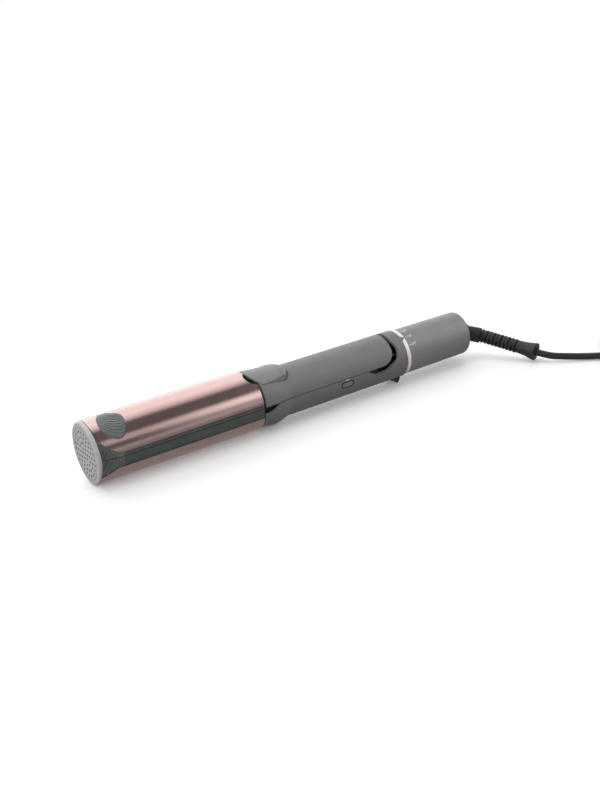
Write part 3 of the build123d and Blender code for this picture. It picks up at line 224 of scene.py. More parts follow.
def scrap(thing):
    """Take away a thing that is no part of the object."""
    bpy.data.objects.remove(thing, do_unlink=True)


def fit_out(piece, body, angle=40):
    """Last steps of a piece: outward faces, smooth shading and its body."""
    settle(piece)
    face_outward(piece)
    bpy.ops.object.shade_smooth_by_angle(angle=math.radians(angle))
    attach(piece, body)


# Strain relief: ball, smooth root, ribs whose every second slot stops short of the top, and a
# flared end. It is drawn straight along X and then bent along its line.

BALL_RADIUS = 7.4
ROOT_RADIUS = 5.3
RIB_RADIUS = 4.75
SLOT_RADIUS = 3.4
BRIDGE_RADIUS = 4.2
RIB_START = 15.6
RIB_PITCH = 2.8
RIB_WIDTH = 1.5
RIB_EDGE = 0.2
RIBS = 10
FLARE_LENGTH = 13.6
FLARE_RADIUS = 6.2
RELIEF_SIDES = 40
BALL_STATION = 285.7
BEND_REACH = 9
# Rings of the ball and of the root by their distance from the ball's centre
BALL_STEPS = (1.5, 3.0, 4.2)
ROOT_STEPS = (5.6, 8.0, 11.0, 14.6)
ROOT_END = 14.8
ROOT_EDGE = 0.2
RIB_FLANK = 0.1
# Steps from the flare's start, each with its radius
FLARE_STEPS = ((0, 4.4), (2.0, 4.45), (5.0, 4.7), (8.0, 5.1), (11.0, 5.75))
# Steps back from the flare's end, each with its radius: its rounded edge, then its mouth
MOUTH_STEPS = (
    (0.3, FLARE_RADIUS), (0.05, FLARE_RADIUS - 0.1), (0, FLARE_RADIUS - 0.3), (-0.01, 3.2), (1.0, 2.6),
)

ball_centre = place(BALL_STATION, 0, 0) / MM
way_in = (relief_bend - ball_centre).normalized()
guide = spline_curve("relief_guide", [
    ball_centre,
    relief_bend - way_in * BEND_REACH,
    relief_bend,
    relief_bend + relief_way * BEND_REACH,
    relief_end,
], 1)
guide.data.use_radius = False


def line_length(curve):
    """Length of a curve with no bevel, in millimetres."""
    path = bpy.data.meshes.new_from_object(curve)
    total = sum((path.vertices[a].co - path.vertices[b].co).length for a, b in path.edge_keys)
    bpy.data.meshes.remove(path)
    return total / MM


relief_length = line_length(guide)
# Each ring: its distance from the ball's centre, its radius above and its radius below
relief_rings = []
for distance in BALL_STEPS:
    radius = math.sqrt(BALL_RADIUS ** 2 - distance ** 2)
    relief_rings.append((distance, radius, radius))
for distance in ROOT_STEPS:
    relief_rings.append((distance, ROOT_RADIUS, ROOT_RADIUS))
relief_rings.append((ROOT_END, ROOT_RADIUS - ROOT_EDGE, ROOT_RADIUS - ROOT_EDGE))
relief_rings.append((ROOT_END + ROOT_EDGE, SLOT_RADIUS, SLOT_RADIUS))
for rib in range(RIBS):
    start = RIB_START + RIB_PITCH * rib
    top = SLOT_RADIUS if rib % 2 == 0 else BRIDGE_RADIUS
    relief_rings += [
        (start, top, SLOT_RADIUS),
        (start + RIB_FLANK, RIB_RADIUS - RIB_EDGE, RIB_RADIUS - RIB_EDGE),
        (start + RIB_FLANK + RIB_EDGE, RIB_RADIUS, RIB_RADIUS),
        (start + RIB_WIDTH - RIB_EDGE, RIB_RADIUS, RIB_RADIUS),
        (start + RIB_WIDTH, RIB_RADIUS - RIB_EDGE, RIB_RADIUS - RIB_EDGE),
    ]
    top = SLOT_RADIUS if rib % 2 == 1 or rib == RIBS - 1 else BRIDGE_RADIUS
    relief_rings.append((start + RIB_WIDTH + RIB_FLANK, top, SLOT_RADIUS))
for step, radius in FLARE_STEPS:
    relief_rings.append((relief_length - FLARE_LENGTH + step, radius, radius))
for step, radius in MOUTH_STEPS:
    relief_rings.append((relief_length - step, radius, radius))

bpy.ops.object.select_all(action="DESELECT")
bpy.ops.mesh.primitive_circle_add(
    vertices=RELIEF_SIDES, radius=BALL_RADIUS * MM, fill_type="NGON", rotation=(0, math.pi / 2, 0)
)
strain_relief = bpy.context.object
strain_relief.name = "ribbed_strain_relief"
settle(strain_relief)
bpy.ops.object.mode_set(mode="EDIT")
bpy.ops.mesh.select_all(action="SELECT")
last_place, last_top, last_bottom = 0.0, BALL_RADIUS, BALL_RADIUS
for distance, top, bottom in relief_rings:
    bpy.ops.mesh.extrude_region_move(
        TRANSFORM_OT_translate={"value": ((distance - last_place) * MM, 0, 0)}
    )
    shape = bmesh.from_edit_mesh(strain_relief.data)
    ring = [corner for corner in shape.verts if corner.select]
    for upper, growth in ((True, top / last_top), (False, bottom / last_bottom)):
        if abs(growth - 1) < NEAR:
            continue
        for corner in ring:
            corner.select_set((corner.co.z > NEAR) == upper)
        shape.select_flush_mode()
        bmesh.update_edit_mesh(strain_relief.data)
        bpy.ops.transform.resize(
            value=(1, growth, growth), center_override=(distance * MM, 0, 0)
        )
    for corner in ring:
        corner.select_set(True)
    shape.select_flush(True)
    bmesh.update_edit_mesh(strain_relief.data)
    last_place, last_top, last_bottom = distance, top, bottom
bpy.ops.object.mode_set(mode="OBJECT")
work(strain_relief, "CURVE", object=guide, deform_axis="POS_X")
scrap(guide)
fit_out(strain_relief, "main", 32)
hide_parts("strain_relief")

# Strap round the coil, with its free end folded back over the outside

STRAP_ANGLE = 80
STRAP_MIDDLE = 27.875
STRAP_SPAN = 20.85
STRAP_RISE = 21.4
STRAP_WIDTH = 9.0
STRAP_THICKNESS = 0.6
STRAP_CORNER = 2.2
STRAP_EDGE = 0.15
FREE_END_LENGTH = 11
FREE_END_RISE = 2.4
FREE_END_CORNER = 2.5

outward = Vector((math.cos(math.radians(STRAP_ANGLE)), math.sin(math.radians(STRAP_ANGLE)), 0))
strap_middle = Vector((*COIL_MIDDLE, STRAP_RISE / 2)) + outward * STRAP_MIDDLE
bpy.ops.object.select_all(action="DESELECT")
bpy.ops.mesh.primitive_cube_add(size=1)
strap = bpy.context.object
strap.scale = (STRAP_SPAN * MM, STRAP_WIDTH * MM, STRAP_RISE * MM)
settle(strap)
bpy.ops.object.mode_set(mode="EDIT")
pick(strap, "faces", lambda middle: abs(middle.y) > STRAP_WIDTH * MM / 2 - NEAR)
bpy.ops.mesh.delete(type="FACE")
pick(strap, "edges", lambda middle: abs(middle.y) < NEAR)
bpy.ops.mesh.bevel(offset=STRAP_CORNER * MM, segments=6, affect="EDGES")
bpy.ops.object.mode_set(mode="OBJECT")
face_outward(strap)
work(strap, "SOLIDIFY", thickness=STRAP_THICKNESS * MM, offset=-1)
break_edges(strap, STRAP_EDGE, 60)


def at_free_corner(middle):
    """Whether a point is the middle of one of the free end's four corner edges."""
    from_middle = abs(middle.z - FREE_END_RISE * MM)
    at_side = abs(middle.y) > STRAP_WIDTH * MM / 2 - NEAR
    return at_side and abs(from_middle - FREE_END_LENGTH / 2 * MM) < NEAR


bpy.ops.object.select_all(action="DESELECT")
bpy.ops.mesh.primitive_cube_add(size=1)
free_end = bpy.context.object
free_end.scale = (STRAP_THICKNESS * MM, STRAP_WIDTH * MM, FREE_END_LENGTH * MM)
free_end.location = ((STRAP_SPAN / 2 + STRAP_THICKNESS / 2) * MM, 0, FREE_END_RISE * MM)
settle(free_end)
bpy.ops.object.mode_set(mode="EDIT")
pick(free_end, "edges", at_free_corner)
bpy.ops.mesh.bevel(offset=FREE_END_CORNER * MM, segments=5, affect="EDGES")
bpy.ops.object.mode_set(mode="OBJECT")
break_edges(free_end, STRAP_EDGE, 60)
strap = join([strap, free_end], "coil_strap")
strap.rotation_euler = (0, 0, math.radians(STRAP_ANGLE))
strap.location = strap_middle * MM
fit_out(strap, "main")
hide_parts("cord_tie")

# Plug details: grip ridges on its flanks and the dark sleeves round the roots of its pins

RIDGES = 5
FIRST_RIDGE = 26.2
RIDGE_PITCH = 1.7
RIDGE_ACROSS = 13.0
RIDGE_WIDTH = 0.9
RIDGE_HEIGHT = 8.4
RIDGE_ROUNDING = 0.3
SLEEVE_SIDES = 36
SLEEVE_RADIUS = 2.12
SLEEVE_LENGTH = 8.5
SLEEVE_MIDDLE = 38.0
SLEEVE_ROUNDING = 0.1
PIN_ACROSS = 9.3

plug_start = cord_route[-1]
plug_way = (cord_route[-1] - cord_route[-2]).normalized()
plug_turn = math.atan2(plug_way.y, plug_way.x)
plug_across = Vector((-plug_way.y, plug_way.x, 0))

ridges = []
for side in (-1, 1):
    for count in range(RIDGES):
        bpy.ops.object.select_all(action="DESELECT")
        bpy.ops.mesh.primitive_cube_add(size=1)
        ridge = bpy.context.object
        ridge.scale = (RIDGE_WIDTH * MM, RIDGE_WIDTH * MM, RIDGE_HEIGHT * MM)
        settle(ridge)
        bpy.ops.object.mode_set(mode="EDIT")
        bpy.ops.mesh.select_all(action="SELECT")
        bpy.ops.mesh.bevel(offset=RIDGE_ROUNDING * MM, segments=3, affect="EDGES")
        bpy.ops.object.mode_set(mode="OBJECT")
        along = FIRST_RIDGE + RIDGE_PITCH * count
        spot = plug_start + plug_way * along + plug_across * side * RIDGE_ACROSS
        ridge.location = spot * MM
        ridge.rotation_euler = (0, 0, plug_turn)
        settle(ridge)
        ridges.append(ridge)
plug_grips = join(ridges, "plug_grip_ridges")
fit_out(plug_grips, "main")

sleeves = []
for side in (-1, 1):
    bpy.ops.object.select_all(action="DESELECT")
    bpy.ops.mesh.primitive_cylinder_add(
        vertices=SLEEVE_SIDES, radius=SLEEVE_RADIUS * MM, depth=SLEEVE_LENGTH * MM,
        rotation=(0, math.pi / 2, 0),
    )
    sleeve = bpy.context.object
    settle(sleeve)
    bpy.ops.object.mode_set(mode="EDIT")
    pick(sleeve, "faces", lambda middle: middle.x > SLEEVE_LENGTH / 2 * MM - NEAR)
    bpy.ops.mesh.bevel(offset=SLEEVE_ROUNDING * MM, segments=2, affect="EDGES")
    bpy.ops.object.mode_set(mode="OBJECT")
    spot = plug_start + plug_way * SLEEVE_MIDDLE + plug_across * side * PIN_ACROSS
    sleeve.location = spot * MM
    sleeve.rotation_euler = (0, 0, plug_turn)
    settle(sleeve)
    sleeves.append(sleeve)
pin_sleeves = join(sleeves, "plug_pin_sleeves")
fit_out(pin_sleeves, "main")

# Tip: painted shade in the vent holes: black discs, a little wider than the holes in the solid, stand
# just proud of the plate

BARREL_RISE = 1.2
VENT_PITCH = 3.5
VENT_RINGS = 4
VENT_RADIUS = 0.8
VENT_SIDES = 16
VENT_DEPTH = 0.84
# Each black disc of painted shade stands this much proud of the plate and hides the narrower hole in
# the solid
VENT_PROUD = 0.02
holes = []
for ring in range(VENT_RINGS + 1):
    count = max(6 * ring, 1)
    for number in range(count):
        angle = 2 * math.pi * number / count
        across = VENT_PITCH * ring * math.cos(angle)
        rise = BARREL_RISE + VENT_PITCH * ring * math.sin(angle)
        bpy.ops.object.select_all(action="DESELECT")
        bpy.ops.mesh.primitive_circle_add(
            vertices=VENT_SIDES, radius=VENT_RADIUS * MM, fill_type="NGON",
            rotation=(0, -math.pi / 2, 0), location=place(VENT_DEPTH, across, rise),
        )
        hole = bpy.context.object
        settle(hole)
        bpy.ops.object.mode_set(mode="EDIT")
        bpy.ops.mesh.select_all(action="SELECT")
        bpy.ops.mesh.extrude_region_move(
            TRANSFORM_OT_translate={"value": (-(VENT_DEPTH + VENT_PROUD) * MM, 0, 0)}
        )
        bpy.ops.object.mode_set(mode="OBJECT")
        holes.append(hole)
# The black discs over the vents are painted shade, the dark inside the holes
vent_shade_discs = join(holes, "vent_painted_shade")
fit_out(vent_shade_discs, "main")

# Ribs on the tip pad: arcs about one middle, laid on the barrel's round top

PAD_EDGE = (
    (16.9, 2.3), (14.0, 2.6), (10.7, -1.0), (8.9, -5.8), (8.6, -12.0), (10.7, -15.5), (14.4, -17.1),
    (17.9, -17.4), (20.6, -16.6), (23.0, -14.3), (24.5, -10.2), (23.9, -5.0), (19.9, -0.7),
)
PAD_MIDDLE = (17.0, -8.0)
PAD_RADIUS = 20.5
PAD_FORM_MIDDLE = 16
PAD_FORM_LENGTH = 40
PAD_FORM_SIDES = 256
# The ribs end inside the pad's edge, at this share of the way out from its middle
PAD_RIB_REACH = 0.93
RIB_MIDDLE = (20.5, -1.0)
# The ribs are drawn at this rise and laid down from there
RIB_DRAWING_RISE = 30
PAD_RIBS = 13
PAD_RIB_SIDES = 220
FIRST_PAD_RIB = 3.0
PAD_RIB_PITCH = 1.5
PAD_RIB_WIDTH = 0.75
PAD_RIB_THICKNESS = 0.4
# Four fifths of the thickness stand over the pad
PAD_RIB_SHIFT = 0.6
PAD_RIB_EDGE = 0.14

rib_limit = [
    tuple(middle + (value - middle) * PAD_RIB_REACH for value, middle in zip(corner, PAD_MIDDLE))
    for corner in PAD_EDGE
]


def on_pad(station, across):
    """Whether a point seen from above lies on the pad, a little inside its edge."""
    inside = False
    for (x0, y0), (x1, y1) in zip(rib_limit, rib_limit[1:] + rib_limit[:1]):
        if (y0 > across) != (y1 > across):
            if station < x0 + (x1 - x0) * (across - y0) / (y1 - y0):
                inside = not inside
    return inside


bpy.ops.object.select_all(action="DESELECT")
bpy.ops.mesh.primitive_cylinder_add(
    vertices=PAD_FORM_SIDES, radius=PAD_RADIUS * MM, depth=PAD_FORM_LENGTH * MM,
    rotation=(0, math.pi / 2, 0), location=place(PAD_FORM_MIDDLE, 0, BARREL_RISE),
)
pad_form = bpy.context.object
settle(pad_form)
rib_centre = place(*RIB_MIDDLE, RIB_DRAWING_RISE)
arcs = []
for count in range(PAD_RIBS):
    radius = FIRST_PAD_RIB + PAD_RIB_PITCH * count
    bpy.ops.object.select_all(action="DESELECT")
    bpy.ops.mesh.primitive_circle_add(
        vertices=PAD_RIB_SIDES, radius=(radius - PAD_RIB_WIDTH / 2) * MM, location=rib_centre
    )
    arc = bpy.context.object
    settle(arc)
    bpy.ops.object.mode_set(mode="EDIT")
    pick(arc, "verts", lambda spot: not on_pad(spot.x / MM - TIP, spot.y / MM))
    bpy.ops.mesh.delete(type="VERT")
    bpy.ops.mesh.select_all(action="SELECT")
    bpy.ops.mesh.extrude_edges_move()
    growth = (radius + PAD_RIB_WIDTH / 2) / (radius - PAD_RIB_WIDTH / 2)
    bpy.ops.transform.resize(value=(growth, growth, 1), center_override=rib_centre)
    bpy.ops.object.mode_set(mode="OBJECT")
    # An arc of one or two faces is too short for a rib
    if len(arc.data.polygons) < 3:
        scrap(arc)
        continue
    work(
        arc, "SHRINKWRAP", target=pad_form, wrap_method="PROJECT", use_project_z=True,
        use_negative_direction=True, use_positive_direction=False, offset=0,
    )
    arcs.append(arc)
pad_ribs = join(arcs, "tip_pad_ribs")
scrap(pad_form)
face_outward(pad_ribs)
work(pad_ribs, "SOLIDIFY", thickness=PAD_RIB_THICKNESS * MM, offset=PAD_RIB_SHIFT)
break_edges(pad_ribs, PAD_RIB_EDGE, 50)
fit_out(pad_ribs, "arm", 50)

# Fan ribs in the scoops of the tip, cut where the two arms part

SCOOP_RIBS = (
    ((4.2, 3.4), (6.4, 6.2)),
    ((4.0, -1.0), (8.6, 4.7)),
    ((4.2, -5.4), (10.4, 2.6)),
    ((5.2, -8.4), (11.6, -0.4)),
    ((10.4, 2.0), (14.2, -4.0)),
    ((12.0, 1.4), (15.4, -2.6)),
)
SCOOP_RIB_WIDTH = 0.8
SCOOP_RIB_HEIGHT = 0.7
SCOOP_RIB_EDGE = 0.15
SCOOP_RIB_CUTS = 12
# A rib that rises less than this on its cap is left out
LEAST_RIB_RISE = 1.0
# The ribs are drawn beside the tip, this far across, and laid on it from there
BESIDE_TIP = 24
# Each cap's ribs keep to its own side of the split
ABOVE_SPLIT = (0.5, math.inf)
BELOW_SPLIT = (-math.inf, -0.5)


def scoop_rib(one_end, other_end, side, cap):
    """One raised rib on the scoop of a tip cap, laid on it from the side."""
    run = Vector(other_end) - Vector(one_end)
    bpy.ops.object.select_all(action="DESELECT")
    bpy.ops.mesh.primitive_plane_add(size=1)
    rib = bpy.context.object
    rib.scale = (run.length * MM, SCOOP_RIB_WIDTH * MM, 1)
    settle(rib)
    bpy.ops.object.mode_set(mode="EDIT")
    bpy.ops.mesh.select_all(action="SELECT")
    bpy.ops.mesh.subdivide(number_cuts=SCOOP_RIB_CUTS)
    bpy.ops.object.mode_set(mode="OBJECT")
    middle = (Vector(one_end) + Vector(other_end)) / 2
    rib.rotation_euler = (math.pi / 2, -math.atan2(run.y, run.x), 0)
    rib.location = place(middle.x, side * BESIDE_TIP, middle.y)
    settle(rib)
    work(
        rib, "SHRINKWRAP", target=cap, wrap_method="PROJECT", use_project_y=True,
        use_negative_direction=side > 0, use_positive_direction=side < 0, offset=0,
    )
    work(rib, "SOLIDIFY", thickness=2 * SCOOP_RIB_HEIGHT * MM, offset=0)
    break_edges(rib, SCOOP_RIB_EDGE, 50)
    return rib


cap_ribs = []
for body, cap, (low, high) in (
    ("arm", "upper_tip_cap", ABOVE_SPLIT), ("main", "lower_tip_cap", BELOW_SPLIT),
):
    ribs = []
    for side in (-1, 1):
        for ends in SCOOP_RIBS:
            cut_ends = []
            for one, other in (ends, ends[::-1]):
                rise = min(max(one[1], low), high)
                share = (rise - one[1]) / (other[1] - one[1])
                cut_ends.append((one[0] + (other[0] - one[0]) * share, rise))
            if abs(cut_ends[0][1] - cut_ends[1][1]) > LEAST_RIB_RISE:
                ribs.append(scoop_rib(*cut_ends, side, nodes[cap]))
    cap_ribs.append(join(ribs, f"{cap}_ribs"))
    fit_out(cap_ribs[-1], body, 50)

# Dial marks: a dot and a setting for each stop

DIAL_MARKS = ("OFF", "120", "140", "160", "180", "200")
FIRST_MARK = 30.7
MARK_STEP = 22.6
DOT_STATION = 232.9
WORD_STATION = 233.8
WORD_SIZE = 2.5
WORD_HALF_LENGTH = 2
WORD_BOLDER = 0.06
DOT_RADIUS = 0.4
DOT_SIDES = 16
MARK_THICKNESS = 0.1
DIAL_FRONT = 231.6
DIAL_LENGTH = 52.4
DIAL_FRONT_RADIUS = 15.55
DIAL_TAPER = 0.5


def dial_radius(station):
    """Radius of the tapered dial at a station."""
    return DIAL_FRONT_RADIUS - DIAL_TAPER * (station - DIAL_FRONT) / DIAL_LENGTH


marks = []
for number, word in enumerate(DIAL_MARKS):
    angle = math.radians(FIRST_MARK + MARK_STEP * number)
    for station, kind in ((DOT_STATION, "dot"), (WORD_STATION, "word")):
        radius = dial_radius(station + (WORD_HALF_LENGTH if kind == "word" else 0))
        bpy.ops.object.select_all(action="DESELECT")
        if kind == "word":
            bpy.ops.object.text_add()
            mark = bpy.context.object
            mark.data.body = word
            mark.data.size = WORD_SIZE * MM
            mark.data.align_y = "CENTER"
            mark.data.extrude = MARK_THICKNESS / 2 * MM
            mark.data.offset = WORD_BOLDER * MM
            bpy.ops.object.convert(target="MESH")
            mark = bpy.context.object
        else:
            bpy.ops.mesh.primitive_circle_add(
                vertices=DOT_SIDES, radius=DOT_RADIUS * MM, fill_type="NGON"
            )
            mark = bpy.context.object
            bpy.ops.object.mode_set(mode="EDIT")
            bpy.ops.mesh.select_all(action="SELECT")
            bpy.ops.mesh.extrude_region_move(
                TRANSFORM_OT_translate={"value": (0, 0, MARK_THICKNESS * MM)}
            )
            bpy.ops.mesh.select_all(action="SELECT")
            bpy.ops.transform.translate(value=(0, 0, -MARK_THICKNESS / 2 * MM))
            bpy.ops.object.mode_set(mode="OBJECT")
        mark.rotation_euler = (math.pi / 2 - angle, 0, 0)
        mark.location = place(station, -radius * math.cos(angle), radius * math.sin(angle))
        settle(mark)
        marks.append(mark)
dial_marks = join(marks, "dial_marks")
work(dial_marks, "WELD", merge_threshold=0.001 * MM)
fit_out(dial_marks, "dial")

# Materials


def linear(hex_colour):
    """An sRGB hex colour as linear red, green, blue and alpha."""
    values = []
    for place_in_text in (1, 3, 5):
        value = int(hex_colour[place_in_text:place_in_text + 2], 16) / 255
        values.append(value / 12.92 if value <= 0.04045 else ((value + 0.055) / 1.055) ** 2.4)
    return (*values, 1)


def add_node(tree, kind, inputs=None, **settings):
    """Add one shader node: settings are its properties, inputs its values or feeding sockets."""
    made = tree.nodes.new(kind)
    for name, value in settings.items():
        setattr(made, name, value)
    for name, value in (inputs or {}).items():
        if isinstance(value, bpy.types.NodeSocket):
            tree.links.new(value, made.inputs[name])
        else:
            made.inputs[name].default_value = value
    return made


def start_material(name):
    """An empty material and its node tree: the caller adds the surface and the output."""
    material = bpy.data.materials.new(name)
    material.use_nodes = True
    material.node_tree.nodes.clear()
    return material, material.node_tree


def finish_material(tree, **surface):
    """Give the material one shader with these inputs."""
    inputs = {name.replace("_", " "): value for name, value in surface.items()}
    shader = add_node(tree, "ShaderNodeBsdfPrincipled", inputs)
    add_node(tree, "ShaderNodeOutputMaterial", {"Surface": shader.outputs["BSDF"]})


def mottled(tree, dark, light, size_mm):
    """A colour that drifts between two hex colours in patches of a size in millimetres."""
    where = add_node(tree, "ShaderNodeTexCoord").outputs["Object"]
    noise = add_node(tree, "ShaderNodeTexNoise", {
        "Vector": where, "Scale": 1 / (size_mm * MM), "Detail": 3.0, "Roughness": 0.55,
    })
    ramp = add_node(tree, "ShaderNodeValToRGB", {"Fac": noise.outputs["Fac"]})
    ramp.color_ramp.elements[0].position = 0.35
    ramp.color_ramp.elements[1].position = 0.65
    ramp.color_ramp.elements[0].color = linear(dark)
    ramp.color_ramp.elements[1].color = linear(light)
    return ramp.outputs["Color"]


def drifting(tree, low, high, size_mm):
    """A value that drifts between two limits in patches of a size in millimetres."""
    where = add_node(tree, "ShaderNodeTexCoord").outputs["Object"]
    noise = add_node(tree, "ShaderNodeTexNoise", {
        "Vector": where, "Scale": 1 / (size_mm * MM), "Detail": 4.0, "Roughness": 0.6,
    })
    spread = add_node(tree, "ShaderNodeMapRange", {
        "Value": noise.outputs["Fac"], "From Min": 0.3, "From Max": 0.7,
        "To Min": low, "To Max": high,
    })
    return spread.outputs["Result"]


def grain(tree, size_mm, depth_mm):
    """The fine bumps of a moulded texture, from their size and depth in millimetres."""
    where = add_node(tree, "ShaderNodeTexCoord").outputs["Object"]
    noise = add_node(tree, "ShaderNodeTexNoise", {
        "Vector": where, "Scale": 1 / (size_mm * MM), "Detail": 2.0, "Roughness": 0.5,
    })
    bump = add_node(tree, "ShaderNodeBump", {
        "Height": noise.outputs["Fac"], "Distance": depth_mm * MM, "Strength": 0.5,
    })
    return bump.outputs["Normal"]


def moulded_plastic(name, dark, light, low, high, grain_mm=0.35, depth_mm=0.02, patch_mm=9.0):
    """A moulded, coated or printed surface: an even colour, a drifting shine and a fine grain."""
    material, tree = start_material(name)
    # A mould's real grain is near 0.1 mm: it is drawn coarser, so that it shows
    finish_material(
        tree,
        Base_Color=mottled(tree, dark, light, patch_mm),
        Roughness=drifting(tree, low, high, 3.0),
        IOR=1.53,
        Normal=grain(tree, grain_mm, depth_mm),
    )
    return material


def plated_metal(name, dark, light, low, high):
    """Polished and tinted aluminium: clear soft reflections with faint drawing streaks."""
    material, tree = start_material(name)
    where = add_node(tree, "ShaderNodeTexCoord").outputs["Object"]
    # Streaks run along the barrel: long in X and 0.4 mm across, coarser than real ones, so that
    # they show
    stretched = add_node(tree, "ShaderNodeMapping", {"Vector": where, "Scale": (20, 2500, 2500)})
    streaks = add_node(tree, "ShaderNodeTexNoise", {
        "Vector": stretched.outputs["Vector"], "Scale": 1.0, "Detail": 3.0,
    })
    bump = add_node(tree, "ShaderNodeBump", {
        "Height": streaks.outputs["Fac"], "Distance": 0.002 * MM, "Strength": 0.3,
    })
    finish_material(
        tree,
        Base_Color=mottled(tree, dark, light, 25.0),
        Metallic=1.0,
        Roughness=drifting(tree, low, high, 6.0),
        Normal=bump.outputs["Normal"],
    )
    return material


# Drawn, polished and anodised aluminium: a rose metal with clear, slightly soft reflections
anodised_rose = plated_metal("anodised_rose_aluminium", "#ccaeaa", "#d1b5b1", 0.13, 0.17)
# Lacquered plastic: a pale rose with an even shine
ring_lacquer = moulded_plastic("rose_lacquered_ring", "#fff1ee", "#fff8f6", 0.20, 0.26)
# Moulded and soft touch coated: an even grey with hardly any shine
handle_abs = moulded_plastic("soft_touch_grey_abs", "#747474", "#797979", 0.46, 0.56)
# Moulded in a finer texture: a slightly paler grey with a satin shine
thumb_abs = moulded_plastic("satin_grey_abs", "#7c7d7c", "#828382", 0.42, 0.50)
# Moulded in the finest texture: the palest grey of the handle, with a silky shine
dial_abs = moulded_plastic("silky_grey_abs", "#848484", "#898989", 0.36, 0.44)
# Moulded heat proof nylon, dull: its pale grey is painted light, the light from the left on the tip's
# face, so the tip looks like a matt disc
tip_nylon_painted_light = moulded_plastic("heat_proof_nylon_painted_light", "#b4b3b2", "#bcbbba", 0.45, 0.55)
# Moulded with glass fibre: a dark grey with a soft shine along the plates
strip_nylon = moulded_plastic("dark_glass_filled_nylon", "#4e5251", "#555958", 0.30, 0.38)
# The same in a lighter grey, for the caps at the tip
scoop_nylon = moulded_plastic("grey_glass_filled_nylon", "#626564", "#6a6d6c", 0.34, 0.42)
# Moulded smooth: its ribs catch a brighter shine than the caps do
pad_nylon = moulded_plastic("grey_pad_nylon", "#6c6f6e", "#737675", 0.26, 0.34)
# Pad printed ink: off white and dull
mark_ink = moulded_plastic("white_pad_printed_ink", "#d4d4d2", "#dededc", 0.50, 0.60, 0.2, 0.005)
# Moulded in a fine texture: a black that still shows its edges
black_abs = moulded_plastic("fine_black_abs", "#161616", "#1c1c1c", 0.40, 0.52)
# Extruded and moulded PVC: a dull soft black with a coarser grain
cord_rubber = moulded_plastic("black_cord_pvc", "#232323", "#2b2b2b", 0.38, 0.50, 0.6, 0.03, 5.0)
# Woven glass fibre: a warm white with no shine
lead_sleeve = moulded_plastic("woven_glass_sleeve", "#c9c4b6", "#d6d1c4", 0.75, 0.85, 0.4, 0.06)
# Glass laminate with a green solder coat: a clear even shine
board_laminate = moulded_plastic("coated_board_laminate", "#1c4a2c", "#245a36", 0.25, 0.35)
# Moulded and frosted acrylic: pale, so it looks unlit
lens_acrylic = moulded_plastic("frosted_acrylic_lens", "#c8caca", "#d2d4d4", 0.25, 0.35)
# Sprayed ceramic on aluminium: near black with a smooth shine
plate_ceramic = moulded_plastic("ceramic_coated_plate", "#3a3837", "#434140", 0.22, 0.30, 0.8, 0.01)
# Pressed and fired ceramic: a warm white with a dull surface
heater_ceramic = moulded_plastic("white_heater_ceramic", "#dedbd2", "#e7e4dc", 0.55, 0.65)
# Woven nylon: black, dull and coarse
strap_weave = moulded_plastic("woven_strap", "#141414", "#1f1f1f", 0.80, 0.95, 0.7, 0.12)


def bare_metal(name, dark, light, low, high):
    """Unpainted metal: bare or plated steel, or nickel over brass."""
    material, tree = start_material(name)
    finish_material(
        tree,
        Base_Color=mottled(tree, dark, light, 4.0),
        Metallic=1.0,
        Roughness=drifting(tree, low, high, 1.5),
        Normal=grain(tree, 0.3, 0.005),
    )
    return material


# Pressed or turned steel, plated with zinc: a cool grey with blurred reflections
zinc_steel = bare_metal("zinc_plated_steel", "#9a9c9e", "#a9abad", 0.28, 0.40)
# Drawn wire and rolled strip of spring steel: darker, with a slightly sharper shine
spring_steel = bare_metal("drawn_spring_steel", "#85868a", "#939498", 0.25, 0.35)
# Turned brass, plated with nickel: a warm pale metal with clear reflections
nickel_brass = bare_metal("nickel_plated_brass", "#c6c1b4", "#d0ccc0", 0.18, 0.28)

finishes = {
    anodised_rose: ("upper_barrel_shell", "lower_barrel_shell"),
    ring_lacquer: ("accent_ring",),
    handle_abs: ("upper_handle_shell", "lower_handle_shell"),
    dial_abs: ("temperature_dial",),
    # The tip's face is painted a paler grey than its caps for the light from the left on it
    tip_nylon_painted_light: ("tip_plate",),
    scoop_nylon: ("upper_tip_cap", "lower_tip_cap"),
    pad_nylon: ("upper_tip_pad",),
    thumb_abs: ("thumb_pad", "power_button"),
    strip_nylon: ("upper_plate_carrier", "lower_plate_carrier"),
    black_abs: (
        "upper_inner_cover", "lower_inner_cover", "board_components", "tact_switch",
        "switch_plunger", "button_bezel", "thermistor", "thermal_cutout", "lock_slider",
        "core_tube", "swivel_bush",
    ),
    cord_rubber: ("strain_relief", "plug_body"),
    lead_sleeve: ("upper_heater_leads", "lower_heater_leads", "mains_leads"),
    board_laminate: ("circuit_board", "switch_board", "selector_board"),
    lens_acrylic: ("indicator_lens",),
    plate_ceramic: ("upper_heater_plate", "lower_heater_plate"),
    heater_ceramic: ("upper_heating_element", "lower_heating_element"),
    strap_weave: ("cord_tie",),
    zinc_steel: (
        "upper_cover_screws", "lower_cover_screws", "hinge_bracket", "bracket_screws",
        "hinge_pin", "core_screws",
    ),
    spring_steel: ("hinge_spring", "selector_wiper"),
    nickel_brass: ("plug_pins",),
}
for finish, names in finishes.items():
    for name in names:
        for holder in nodes[name].material_slots:
            holder.material = finish

new_finishes = {
    cord_rubber: (power_cord, strain_relief, plug_grips),
    # The vent discs are black as painted shade inside the holes
    black_abs: (pin_sleeves, vent_shade_discs),
    strap_weave: (strap,),
    pad_nylon: (pad_ribs,),
    mark_ink: (dial_marks,),
    scoop_nylon: cap_ribs,
}
for finish, pieces in new_finishes.items():
    for piece in pieces:
        piece.data.materials.clear()
        piece.data.materials.append(finish)

# Floor, room and lamps, in metres

FLOOR_SIZE = 6
FLOOR_HEIGHT = -0.0002
